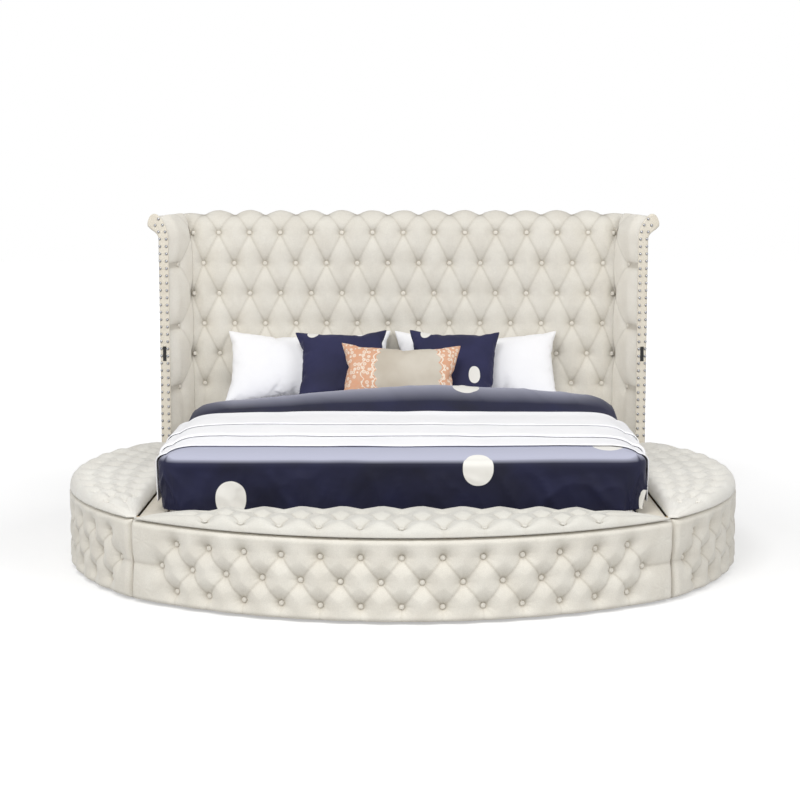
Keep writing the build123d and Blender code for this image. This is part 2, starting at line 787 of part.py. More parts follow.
def wing_pad_solid(front, board, cover):
    """The tufted inside of a wing: one button column between the corner and the front."""
    centre_p = wing_total + wing_roll_radius
    bend_radius = centre_p - wing_pad
    swing = roll_swing
    top = roll_start_height + bend_radius * swing
    edge = wing_pad / wing_pad_crown
    corner = head_columns()
    columns = [(-wing_tuck, corner, wing_edge_share), (front * wing_column_share, corner + 1, 1),
               (front, None, edge)]
    lattice = [(min(row[0], top - head_board), row[1], row[2]) for row in head_rows()]
    rows = ([(top + head_board / 3, None, edge * wing_crest_share)] + lattice
            + [(platform_height + head_foot, None, wing_edge_share)])

    def place(reach, travel, height):
        if travel <= roll_start_height:
            return wing_point(reach, wing_pad - height, travel)
        angle = (travel - roll_start_height) / bend_radius
        r = bend_radius + height
        return wing_point(reach, centre_p - r * cos(angle), roll_start_height + r * sin(angle))

    points, faces = tufted_faces(columns, rows, wing_pad_crown, 1, place)
    sunk = -wing_board / 2
    back = [[place(c[0], row[0], sunk) for row in rows] for c in (columns[0], columns[-1])]
    for k, line in ((0, back[0]), (-1, back[1])):
        faces.append(points[k] + line[::-1])
    for j in (0, -1):
        faces.append([line[j] for line in points] + [back[1][j], back[0][j]])
    for j in range(len(rows) - 1):
        faces.append((back[0][j], back[1][j], back[1][j + 1], back[0][j + 1]))
    pad = polyhedron(faces) - board - cover
    return (largest(pad), buttons_on(columns, rows, wing_pad_crown, 1, place))


def wing_port():
    """A plain rectangular power plate let into the front band."""
    plane = wing_plane(wing_depth)
    return plane * (Pos(wing_total / 2, port_centre_height, -port_depth / 2) * Box(
        port_width, port_height, port_depth))


def nail(place_on_band):
    """A domed nail head on the face of the front band."""
    plane = wing_plane(wing_depth)
    p, z = place_on_band
    seat = Vector(*plane.from_local_coords(Vector(p, z, seat_clearance)))
    return faceted_dome(Plane(origin=seat, x_dir=plane.x_dir, z_dir=plane.z_dir), nail_radius,
                        nail_height, nail_sides)


def nailheads():
    """Two columns of nails up the band that follow its roll at the top."""
    found = []
    centre_p = wing_total + wing_roll_radius
    for inset in (nail_edge, wing_total - nail_edge):
        count = int((roll_start_height - nail_low) / nail_pitch)
        for k in range(count + 1):
            found.append(nail((inset, roll_start_height - k * nail_pitch)))
        radius = centre_p - inset
        bends = int(radius * roll_swing / nail_pitch)
        for k in range(1, bends + 1):
            angle = k * nail_pitch / radius
            found.append(nail((centre_p - radius * cos(angle),
                               roll_start_height + radius * sin(angle))))
    return found


# Platform under the mattress

def make_platform():
    """Side rails, a centre rail on legs, slats and the glides that stand on the floor."""
    board_top = bench_height - ledge_board
    slat_low = platform_height - slat_thickness
    front = mattress_front_y
    rail_front = corner_y + joint_gap
    keep_both("side_rails", block(rail_x, rail_x + rail_board, rail_front + front_ledge_depth / 2,
                                 rear_y, board_top - rail_height, board_top))
    keep_both("slat_cleats", block(rail_x - rail_board, rail_x, rail_front + front_ledge_depth,
                                  rear_y, slat_low - rail_board, slat_low))
    half = rail_board
    keep("centre_rail", block(-half, half, corner_y, head_y + head_pad,
                              slat_low - rail_height, slat_low))
    legs = []
    for k in range(leg_count):
        y = front + mattress_length * (k + 0.5) / leg_count
        legs.append(block(-leg_side / 2, leg_side / 2, y - leg_side / 2, y + leg_side / 2, 0,
                          slat_low - rail_height))
    keep("centre_legs", *legs)
    pitch = (mattress_length - slat_width) / (slat_count - 1)
    slats = [block(-rail_x + joint_gap / 2, rail_x - joint_gap / 2, front + k * pitch,
                   front + k * pitch + slat_width, slat_low, platform_height)
             for k in range(slat_count)]
    keep("slats", *slats)
    make_glides()


def glide(x, y):
    return Pos(x, y, 0) * extrude(RegularPolygon(glide_radius, glide_sides), glide_height)


def make_glides():
    """Glides under the benches, the headboard and the wings, all in one node."""
    front_radius_mid = front_core_radius - panel_board - glide_radius
    found = [glide(front_radius_mid * sin(radians(a)), front_centre_y - front_radius_mid
                   * cos(radians(a))) for a in front_glide_angles]
    side_mid = side_core_radius - panel_board - glide_radius
    for a in side_glide_angles:
        x, y = side_mid * sin(radians(a)), centre_y - side_mid * cos(radians(a))
        found += [glide(x, y), glide(-x, y)]
    back_y = head_y + head_pad + head_board / 2
    found += [block(x - glide_radius, x + glide_radius, back_y - head_board / 2,
                   back_y + head_board / 2, 0, head_foot)
             for x in (-head_corner_x * head_glide_share, 0, head_corner_x * head_glide_share)]
    splay = radians(wing_splay)
    for side in (-1, 1):
        origin = wing_point(wing_depth / 2, wing_pad + wing_board / 2, 0)
        pad = Pos(side * origin[0], origin[1], head_foot / 2) * Rot(
            0, 0, side * degrees(splay)) * Box(wing_board, 2 * glide_radius, head_foot)
        found.append(pad)
    keep("glides", *found)


# Bedding

def plan_ring(half_x, front, rear, corner, z, fold, phase):
    """A rounded rectangle in plan whose sides and front may wave in soft folds."""
    ring = []
    side_count, front_count, turns = 12, 10, 4
    length = rear - front - corner
    for k in range(side_count + 1):
        t = k / side_count
        ring.append((half_x + fold * sin(pi * (k + phase)) * (1 if 0 < k < side_count else 0)
                     + (fold if (k + phase) % 2 else 0), rear - t * length, z))
    for k in range(1, turns):
        a = pi / 2 * k / turns
        ring.append((half_x - corner + corner * cos(a), front + corner - corner * sin(a), z))
    for k in range(front_count + 1):
        t = k / front_count
        x = (half_x - corner) * (1 - 2 * t)
        ring.append((x, front - (fold if (k + phase) % 2 else 0), z))
    left = [(-x, y, z) for x, y, z in reversed(ring[:side_count + turns])]
    return ring + left


def make_duvet():
    """The quilt: over the mattress, round its foot and down both sides."""
    clear = seat_clearance
    half = mattress_width / 2 + duvet_side
    front = mattress_front_y - duvet_foot
    rear = mattress_front_y + duvet_length
    top = mattress_top + duvet_loft
    corner = mattress_corner
    near, middle, far = duvet_shoulder_insets
    low_share, high_share = duvet_shoulder_shares
    levels = [(duvet_hem_height, 0, duvet_fold),
              (duvet_hem_height + 2 * duvet_side, 0, duvet_fold / 2),
              (mattress_top - duvet_side / 2, 0, 0),
              (mattress_top + duvet_loft * low_share, near, 0),
              (mattress_top + duvet_loft * high_share, middle, 0), (top, far, 0)]
    rings = [plan_ring(half - inset, front + inset, rear, corner, z, fold, 0)
             for z, inset, fold in levels]
    space = block(-mattress_width / 2 - clear, mattress_width / 2 + clear,
                  mattress_front_y - clear, rear + overrun, 0, mattress_top + clear)
    quilt = stacked(rings) - space
    keep("duvet", quilt)
    return rings


def make_throw(rings):
    """A blanket folded in three steps across the bed, hanging down both sides."""
    front = mattress_front_y + throw_start
    section = []
    for ring in rings:
        side = [p for p in ring if p[0] > 0]
        section.append((max(p[0] for p in side), ring[0][2]))
    layers = []
    thickness, y = 0.0, front
    for depth in throw_layer_depths:
        thickness += throw_layer
        layers.append(throw_band(section, y, y + depth, thickness))
        y += depth
    keep("throw", layers[0] + layers[1] + layers[2])


def throw_band(section, y_low, y_high, thickness):
    """One step of the folded blanket, offset from the quilt below it."""
    inner = [(x + duvet_fold + seat_clearance, z + seat_clearance) for x, z in section[1:]]
    inner[0] = (inner[0][0], throw_hem_height)
    right = inner + [(0, inner[-1][1])]
    outer = [(x + thickness, z + thickness if k else z) for k, (x, z) in enumerate(inner)]
    outline = ([(x, z) for x, z in right] + [(-x, z) for x, z in reversed(inner)]
               + [(-x, z) for x, z in outer] + [(x, z) for x, z in reversed(outer)])
    plane = Plane(origin=(0, y_high, 0), x_dir=(1, 0, 0), z_dir=(0, -1, 0))
    return extrude(plane * make_face(Polyline(*outline, close=True)), y_high - y_low)


def cushion(size):
    """A plump cushion: drawn-in sides, ears at its corners and a crown on both faces."""
    width, height, thickness = size
    per_side = 5

    def ring(inset, t):
        half_w, half_h = width / 2 - inset, height / 2 - inset
        points = []
        for side in range(4):
            for k in range(per_side):
                s = 2 * k / per_side - 1
                drawn = 1 - cushion_waist_share * (1 - s * s)
                x, y = ((half_w * s, -half_h * drawn), (half_w * drawn, half_h * s),
                        (-half_w * s, half_h * drawn), (-half_w * drawn, -half_h * s))[side]
                points.append((x, y, t))
        return points

    half = thickness / 2
    levels = list(zip(cushion_inset_shares, cushion_level_shares))
    short = min(width, height)
    below = [ring(short * inset, -half * t) for inset, t in levels]
    above = [ring(short * inset, half * t) for inset, t in reversed(levels[:-1])]
    return stacked(below + above)


def make_pillows():
    """White pillows lean on the headboard, cushions lean on them, the small one in front."""
    lean = radians(pillow_lean)
    forward = Vector(0, -cos(lean), sin(lean))
    upward = Vector(0, sin(lean), cos(lean))
    rest = mattress_top + duvet_loft + seat_clearance
    start = Vector(0, 0, 0)

    def placed(size, x, centre):
        plane = Plane(origin=(x, centre.Y, centre.Z), x_dir=(1, 0, 0), z_dir=forward)
        return plane * cushion(size)

    def settle(size, centre):
        """Slides a leaning layer down until its lowest corner meets the bed."""
        low = placed(size, 0, centre).bounding_box().min.Z
        return centre + upward * ((rest - low) / upward.Z)

    back = settle(pillow_size, start)
    reach = placed(pillow_size, 0, back).bounding_box().max.Y
    back = back + Vector(0, head_y - bedding_gap - head_pad * pillow_rest_share - reach, 0)
    middle_step = (pillow_size[2] + cushion_size[2]) / 2 + bedding_gap
    middle = settle(cushion_size, back + forward * middle_step)
    last_step = (cushion_size[2] + lumbar_size[2]) / 2 + bedding_gap
    last = settle(lumbar_size, middle + forward * last_step)
    for name, x in zip(("left_pillow", "right_pillow"), pillow_centres):
        keep(name, placed(pillow_size, x, back))
    for name, x in zip(("left_cushion", "right_cushion"), cushion_centres):
        keep(name, placed(cushion_size, x, middle))
    keep("lumbar_cushion", placed(lumbar_size, lumbar_centre, last))


def make_mattress():
    """A king-size mattress with rounded corners and soft edges."""
    shape = block(-mattress_width / 2, mattress_width / 2, mattress_front_y,
                  mattress_front_y + mattress_length, platform_height, mattress_top)
    shape = fillet(shape.edges().filter_by(Axis.Z), mattress_corner)
    keep("mattress", shape)


make_front_bench()
make_side_bench()
make_front_lid()
make_side_lid()
make_hinges()
make_headboard(make_wings())
make_platform()
make_mattress()
make_throw(make_duvet())
make_pillows()

for name, shape in nodes.items():
    export_step(shape, f"parts/{name}.step")
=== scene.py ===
import math
import bmesh
import bpy
import numpy as np
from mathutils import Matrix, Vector

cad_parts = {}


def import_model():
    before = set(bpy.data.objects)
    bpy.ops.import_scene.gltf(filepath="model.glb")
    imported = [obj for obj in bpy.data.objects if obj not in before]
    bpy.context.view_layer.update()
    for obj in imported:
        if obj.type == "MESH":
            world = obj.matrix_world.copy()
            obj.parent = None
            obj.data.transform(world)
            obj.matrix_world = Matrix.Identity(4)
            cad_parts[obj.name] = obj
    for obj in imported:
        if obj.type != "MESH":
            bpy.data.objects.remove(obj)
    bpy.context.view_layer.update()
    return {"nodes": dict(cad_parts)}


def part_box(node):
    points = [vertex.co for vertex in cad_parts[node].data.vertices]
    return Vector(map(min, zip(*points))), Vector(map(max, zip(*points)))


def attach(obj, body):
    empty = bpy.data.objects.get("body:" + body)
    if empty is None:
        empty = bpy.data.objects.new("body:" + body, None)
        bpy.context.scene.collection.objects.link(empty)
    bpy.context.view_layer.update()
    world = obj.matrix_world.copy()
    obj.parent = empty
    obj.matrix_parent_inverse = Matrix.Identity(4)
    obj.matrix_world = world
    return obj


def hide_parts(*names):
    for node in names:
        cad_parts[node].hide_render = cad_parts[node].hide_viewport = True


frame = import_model()

# The part's own sizes, in metres
PITCH = 0.163
PANEL_ROWS, PANEL_ROW = (0.262, 0.165, 0.068), 0.097
PANEL_TOP, PANEL_FOOT = 0.338, 0.010
PANEL_PAD = 0.045
FRONT_R, FRONT_CY = 1.71258, 0.37695
SIDE_R, SIDE_CY = 1.530, 0.12372
CORNER_Y, REAR_Y, HEAD_Y = -0.91863, 0.93145, 1.18937
FRONT_HALF = 1.120
CORNER_GAP = 0.007
LID_INSET, LID_BOTTOM, LID_GAP = 0.004, 0.3443, 0.007
HINGE_X = 1.084
HEAD_CORNER_X = 1.113
HEAD_PITCH, HEAD_ROW = 0.160, 0.157
HEAD_PAD, HEAD_BOARD, HEAD_FOOT = 0.045, 0.030, 0.312
ROLL_START, ROLL_SWING = 1.425, math.radians(50)
ROLL_SHOW, ROLL_CORE, ROLL_MID = 0.165, 0.120, 0.105
ROLL_END = ROLL_START + ROLL_CORE * ROLL_SWING
WING_DEPTH, WING_SPLAY = 0.268, math.radians(16)
WING_TOTAL, WING_PAD, WING_BAND = 0.053, 0.018, 0.007
WING_CENTRE = WING_TOTAL + 0.104
BUTTON_R, BUTTON_SEAT = 0.0115, 0.0085

PAD_BACK = 0.0005
PANEL_STEP, HEAD_STEP = 0.005, 0.0055


# Noise that is the same on every run

def noise2(x, y, seed):
    """Smooth value noise in [-1, 1] on arrays of coordinates."""
    rng = np.random.default_rng(seed)
    table = rng.uniform(-1, 1, (64, 64))
    xi, yi = np.floor(x).astype(int), np.floor(y).astype(int)
    xf, yf = x - xi, y - yi
    xf, yf = xf * xf * (3 - 2 * xf), yf * yf * (3 - 2 * yf)
    a, b = table[xi % 64, yi % 64], table[(xi + 1) % 64, yi % 64]
    c, d = table[xi % 64, (yi + 1) % 64], table[(xi + 1) % 64, (yi + 1) % 64]
    return (a * (1 - xf) + b * xf) * (1 - yf) + (c * (1 - xf) + d * xf) * yf


def smooth(t):
    t = np.clip(t, 0, 1)
    return t * t * (3 - 2 * t)


# Meshes

def link(name, data):
    obj = bpy.data.objects.new(name, data)
    bpy.context.scene.collection.objects.link(obj)
    return obj


def add_object(name, verts, faces, material, crease_shade=None):
    """A new object, smooth but for its many-sided end faces."""
    mesh = bpy.data.meshes.new(name)
    mesh.from_pydata([tuple(v) for v in verts], [], faces)
    mesh.materials.append(material)
    mesh.update()
    # The per-vertex values are painted shade for the creases and button rings, kept in the fold
    # attribute that darkens the velvet.
    if crease_shade is not None:
        values = np.zeros(len(verts))
        values[:crease_shade.size] = crease_shade.ravel()
        mesh.attributes.new("fold", "FLOAT", "POINT").data.foreach_set("value", values)
    for poly in mesh.polygons:
        poly.use_smooth = len(poly.vertices) <= 4
    return link(name, mesh)


def mend_normals(obj):
    bm = bmesh.new()
    bm.from_mesh(obj.data)
    bmesh.ops.recalc_face_normals(bm, faces=bm.faces)
    bm.to_mesh(obj.data)
    bm.free()


def grid_faces(nu, nv, start=0):
    faces = []
    for i in range(nu - 1):
        for j in range(nv - 1):
            k = start + i * nv + j
            faces.append((k, k + nv, k + nv + 1, k + 1))
    return faces


def two_sided(face, back):
    """Vertices and faces of a thick sheet: two grids joined along their four edges."""
    nu, nv = face.shape[:2]
    first = nu * nv
    faces = grid_faces(nu, nv) + [tuple(reversed(f)) for f in grid_faces(nu, nv, first)]
    edges = [(i * nv + j, nv) for i in range(nu - 1) for j in (0, nv - 1)]
    edges += [(i * nv + j, 1) for i in (0, nu - 1) for j in range(nv - 1)]
    for k, step in edges:
        faces.append((k, k + step, first + k + step, first + k))
    return list(face.reshape(-1, 3)) + list(back.reshape(-1, 3)), faces


def closed_pad(name, front, back, material, crease_shade=None):
    """A pad with a fine face and a plain back: two rows or two columns, behind its outer ones."""
    nu, nv = front.shape[:2]
    faces = grid_faces(nu, nv)
    fine = np.arange(nu * nv).reshape(nu, nv)
    rear = nu * nv + np.arange(back.size // 3).reshape(back.shape[:2])
    if len(rear) > 2:
        fine, rear = fine.T, rear.T
    count = rear.shape[1]
    fine, rear = fine.tolist(), rear.tolist()
    for k in range(count - 1):
        faces.append((rear[0][k], rear[0][k + 1], rear[1][k + 1], rear[1][k]))
        for row in (0, 1):
            faces.append((fine[-row][k], fine[-row][k + 1], rear[row][k + 1], rear[row][k]))
    for k in (0, -1):
        faces.append([row[k] for row in fine] + [rear[1][k], rear[0][k]])
    verts = list(front.reshape(-1, 3)) + list(back.reshape(-1, 3))
    obj = add_object(name, verts, faces, material, crease_shade=crease_shade)
    mend_normals(obj)
    return obj


# Diamond tufting

def button_distance(u, v, odd, last, cell, ends):
    """Distance to the nearest button, in metres."""
    best = np.full(np.broadcast(u, v).shape, 9.0)
    for row in (np.floor(v), np.ceil(v)):
        row = np.clip(row, 0, last)
        column = np.round((u - row - odd) / 2) * 2 + row + odd
        outer = ends - (ends - row - odd) % 2
        column = np.clip(column, -outer, outer)
        best = np.minimum(best, np.hypot((u - column) * cell[0], (v - row) * cell[1]))
    return best


def tufting(u, v, odd, last, cell, ends=99, crease=0.32, above=0.0, below=0.16, dimple=0.026):
    """Fullness and painted shade over a field of buttons, in rows from 0 to last.

    Fullness runs from 0 at a button to 1 in the middle of a diamond. The painted shade is up to 1
    in a thin line along a crease and in a ring round a button, and 0 on the open diamonds. u counts
    half pitches and v counts rows. A thin crease runs from button to button. Past the first and
    last row it turns into a straight pleat, and past the last column it runs level.
    """
    inside, across = np.clip(v, 0, last), np.clip(u, -ends, ends)
    a, b = (across + inside + odd) / 2, (across - inside + odd) / 2
    r = button_distance(u, v, odd, last, cell, ends)
    fold = np.abs(np.sin(np.pi * a) * np.sin(np.pi * b)) ** 0.32
    over, under = smooth(-v / 0.4), smooth((v - last) / 0.4)
    depth = crease + (above - crease) * over + (below - crease) * under
    bowl = 1 - np.exp(-np.clip(r - 0.010, 0, None) / dimple)

    # Painted shade: a thin dark line along each crease, stronger near the buttons, and a ring round
    # each button.
    slant = 2 / math.hypot(1 / cell[0], 1 / cell[1])
    away = np.minimum(np.abs(a - np.round(a)), np.abs(b - np.round(b))) * slant
    line = np.exp(-away / 0.004) * (0.25 + 0.75 * np.exp(-r / 0.06))
    line = line * (1 - smooth(-v / 0.3)) * (1 - 0.6 * smooth((v - last) / 0.3))
    ring = np.exp(-np.clip(r - 0.012, 0, None) / 0.006)
    return (bowl * (1 - depth * (1 - fold)),
            np.clip(np.maximum(0.9 * line, 0.8 * ring), 0, 1))


def rim(distance, radius):
    """A rounded shoulder: 0 at the edge, 1 past the radius."""
    t = np.clip(distance / radius, 0, 1)
    return np.sqrt(np.clip(1 - (1 - t) ** 2, 0, 1))


def pucker(u, v, odd, cell, seed):
    """Small gathers that run out from each button, in metres."""
    near_v = np.round(v)
    near_u = np.round((u - (near_v + odd)) / 2) * 2 + near_v + odd
    du, dv = (u - near_u) * cell[0], (v - near_v) * cell[1]
    r = np.hypot(du, dv) + 1e-6
    angle = np.arctan2(dv, du)
    turn = noise2(near_u * 3.7 + 0.5, near_v * 5.1 + 0.5, seed) * 3
    ring = np.sin(11 * angle + turn) + 0.6 * np.sin(7 * angle + 2 * turn)
    return 0.0011 * ring * smooth((r - 0.008) / 0.012) * np.exp(-np.clip(r - 0.014, 0, 9) / 0.02)


def button_mesh(centres, radius=BUTTON_R, height=0.0065):
    """Covered buttons: low domes with a soft shoulder, as one mesh."""
    sides, rings = 20, 5
    verts, faces = [], []
    for seat, outward in centres:
        n = Vector(outward).normalized()
        x = n.orthogonal().normalized()
        y = n.cross(x)
        start = len(verts)
        for k in range(rings):
            t = k / rings
            r = radius * math.cos(t * math.pi / 2) ** 0.45
            h = height * math.sin(t * math.pi / 2) - 0.003 * (k == 0)
            for m in range(sides):
                w = 2 * math.pi * m / sides
                verts.append(Vector(seat) + (x * math.cos(w) + y * math.sin(w)) * r + n * h)
        verts.append(Vector(seat) + n * height)
        verts.append(Vector(seat) - n * 0.003)
        for k in range(rings - 1):
            for m in range(sides):
                o = (m + 1) % sides
                faces.append((start + k * sides + m, start + k * sides + o,
                              start + (k + 1) * sides + o, start + (k + 1) * sides + m))
        top = start + rings * sides
        for m in range(sides):
            o = (m + 1) % sides
            faces.append((start + (rings - 1) * sides + m, start + (rings - 1) * sides + o, top))
            faces.append((start + o, start + m, top + 1))
    return verts, faces


# Materials

WHITE = (1, 1, 1, 1)


def srgb(r, g, b):
    out = []
    for c in (r, g, b):
        c /= 255
        out.append(c / 12.92 if c <= 0.04045 else ((c + 0.055) / 1.055) ** 2.4)
    return (*out, 1)


class Graph:
    """A node tree and the few kinds of node used here. Inputs are written with _ for a space."""

    def __init__(self, tree):
        self.tree = tree

    def feed(self, socket, value):
        """Links an output to the socket, or sets the socket's own value."""
        if isinstance(value, bpy.types.NodeSocket):
            self.tree.links.new(value, socket)
        else:
            socket.default_value = value

    def node(self, kind, *inputs, **values):
        n = self.tree.nodes.new("ShaderNode" + kind)
        for key, value in values.items():
            name = key.replace("_", " ")
            if name in n.inputs:
                self.feed(n.inputs[name], value)
            else:
                setattr(n, key, value)
        for socket, value in zip(n.inputs, inputs):
            self.feed(socket, value)
        return n

    def math(self, operation, *values):
        return self.node("Math", *values, operation=operation).outputs[0]

    def mix(self, factor, a, b):
        n = self.node("Mix", data_type="RGBA")
        for k, value in ((0, factor), (6, a), (7, b)):
            self.feed(n.inputs[k], value)
        return n.outputs[2]

    def ramp(self, source, low, high, a=0.0, b=1.0):
        return self.node("MapRange", Value=source, From_Min=low, From_Max=high, To_Min=a,
                         To_Max=b).outputs["Result"]

    def place(self):
        return self.node("TexCoord").outputs["Object"]

    def cloth(self):
        """The place on the flat cloth in metres, whole and as its two parts."""
        uv = self.node("UVMap", uv_map="cloth").outputs["UV"]
        split = self.node("SeparateXYZ", Vector=uv)
        return uv, split.outputs["X"], split.outputs["Y"]

    def noise(self, scale, detail=2.0, rough=0.5, stretch=None):
        source = self.place()
        if stretch:
            source = self.node("Mapping", Vector=source, Scale=stretch).outputs["Vector"]
        return self.node("TexNoise", Vector=source, Scale=scale, Detail=detail,
                         Roughness=rough).outputs["Fac"]

    def seen(self):
        """1 where the camera looks, straight or by a shine or through glass; 0 for soft light."""
        path = self.node("LightPath").outputs
        return self.math("MAXIMUM", path["Is Camera Ray"], self.math(
            "MAXIMUM", path["Is Glossy Ray"], path["Is Transmission Ray"]))


class Surface(Graph):
    """A material with one Principled shader."""

    def __init__(self, name, roughness, sheen=0.0, metallic=0.0, sheen_rough=0.4):
        self.mat = bpy.data.materials.new(name)
        self.mat.use_nodes = True
        super().__init__(self.mat.node_tree)
        self.shade(Roughness=roughness, Metallic=metallic, Sheen_Weight=sheen,
                   Sheen_Roughness=sheen_rough)

    def shade(self, **values):
        inputs = self.tree.nodes["Principled BSDF"].inputs
        for key, value in values.items():
            self.feed(inputs[key.replace("_", " ")], value)

    def bump(self, height, strength, distance, below=None):
        n = self.node("Bump", Strength=strength, Distance=distance, Height=height)
        normal = n.outputs["Normal"]
        if below:
            self.feed(n.inputs["Normal"], below)
        self.shade(Normal=normal)
        return normal


# Colour of the painted shade in the velvet's creases and round its buttons.
CREASE_SHADE_COLOR = srgb(150, 139, 120)


def velvet(name, light, dark, patch=9.0):
    """Short cut velvet: soft patches where its nap is brushed, with painted shade in the creases.
    """
    s = Surface(name, 0.82, sheen=0.35, sheen_rough=0.35)
    patches = s.ramp(s.noise(patch, 4.0, 0.6), 0.34, 0.66)
    color = s.mix(patches, srgb(*dark), srgb(*light))
    # Painted shade: the fold attribute darkens the colour along creases and round buttons.
    painted_crease_shade = s.node("Attribute", attribute_name="fold").outputs["Fac"]
    color = s.mix(s.ramp(painted_crease_shade, 0.0, 1.0, 0.0, 0.68), color, CREASE_SHADE_COLOR)
    fine = s.ramp(s.noise(260.0, 2.0, 0.6), 0.3, 0.7, 0.93, 1.04)
    s.shade(Base_Color=s.node("HueSaturation", Color=color, Value=fine).outputs["Color"])
    first = s.bump(s.noise(1500.0, 2.0, 0.7), 0.35, 0.0006)
    s.bump(s.noise(120.0, 3.0, 0.6), 0.25, 0.0012, below=first)
    return s.mat


VELVET = velvet("velvet_cream", (227, 223, 213), (220, 215, 204))
# Lighter copy of the cream velvet for the side lids: painted light on their tops.
VELVET_LID_PAINTED_LIGHT = velvet("velvet_lid", (235, 233, 226), (230, 227, 219))
VELVET_BAND = velvet("velvet_band", (232, 225, 210), (226, 218, 202), patch=14.0)
# Darker copy of the cream velvet for the front lid: painted shade.
VELVET_FRONT_LID_PAINTED_SHADE = velvet("velvet_front_lid_painted_shade", (220, 218, 210), (215, 212, 203))
# Lighter copy of the cream velvet for the wings: painted light on their sideways faces.
VELVET_WING_PAINTED_LIGHT = velvet("velvet_cream_wings_painted_light", (246, 242, 232), (240, 235, 224))


# Pads

def panel_pad(name, radius, centre_y, arcs, steps, sign=1):
    """A tufted bench panel on a round wall, with its buttons."""
    low, high = arcs
    middle = (low + high) / 2
    nu = int((high - low) * radius / PANEL_STEP)
    nv = 74
    angle = np.linspace(low, high, nu)[:, None]
    z = np.linspace(PANEL_TOP, PANEL_FOOT, nv)[None, :]
    angle, z = np.broadcast_arrays(angle, z)
    u = (angle - middle) * radius / (PITCH / 2)
    v = np.interp(z, PANEL_ROWS[::-1], (2.0, 1.0, 0.0))
    v = np.where(z > PANEL_ROWS[0], -(z - PANEL_ROWS[0]) / PANEL_ROW, v)
    v = np.where(z < PANEL_ROWS[2], 2 + (PANEL_ROWS[2] - z) / PANEL_ROW, v)
    cell = (PITCH / 2, PANEL_ROW)
    # tufting's second value is painted shade for the creases and button rings.
    share, shade_marks = tufting(u, v, 0, 2, cell, steps)
    h = PANEL_PAD * (0.16 + 0.88 * share) + pucker(u, v, 0, cell, 3)
    seam = np.minimum(angle - low, high - angle) * radius
    edge = rim(seam, 0.030) * rim(np.minimum(PANEL_TOP - z, z - PANEL_FOOT), 0.022)
    h = h * (0.45 + 0.55 * edge) + 0.0012 * noise2(u * 2.3 + 90, v * 2.3 + 90, 8)
    h = np.maximum(h, 0.022 * (1 - smooth((seam - 0.004) / 0.03)))
    base = radius - PANEL_PAD

    def place(t, level, height):
        r = base + height
        return np.stack([sign * r * np.sin(t), centre_y - r * np.cos(t), level], -1)

    front = place(angle, z, h)
    back = place(angle[:, [0, -1]], z[:, [0, -1]], np.full((nu, 2), PAD_BACK))
    obj = closed_pad(name, front, back, VELVET, shade_marks)
    centres = []
    for n in range(-steps, steps + 1):
        for level in PANEL_ROWS[n % 2::2]:
            t = middle + n * PITCH / 2 / radius
            seat = place(np.float64(t), np.float64(level), BUTTON_SEAT)
            centres.append((seat, (sign * math.sin(t), -math.cos(t), 0)))
    return obj, centres


def finish_piece(obj, replaced, body="bed_frame"):
    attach(obj, body)
    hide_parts(replaced)


def add_buttons(name, centres, replaced, body="bed_frame", material=VELVET):
    obj = add_object(name, *button_mesh(centres), material)
    finish_piece(obj, replaced, body=body)


half_arc = math.asin(FRONT_HALF / FRONT_R) - CORNER_GAP / FRONT_R
front_panel, front_buttons = panel_pad("front_panel_padding", FRONT_R, FRONT_CY,
                                       (-half_arc, half_arc), 13)
finish_piece(front_panel, "front_panel_pad")
side_start = math.asin(FRONT_HALF / SIDE_R) + CORNER_GAP / SIDE_R
side_finish = math.acos((SIDE_CY - REAR_Y) / SIDE_R)
side_centres = []
for side, sign in (("right", 1), ("left", -1)):
    panel, centres = panel_pad(side + "_panel_padding", SIDE_R, SIDE_CY,
                               (side_start, side_finish), 11, sign)
    finish_piece(panel, side + "_panel_pad")
    side_centres += centres
add_buttons("foot_panel_covered_buttons", front_buttons, "front_panel_buttons")
add_buttons("side_panel_covered_buttons", side_centres, "side_panel_buttons")


# Lids

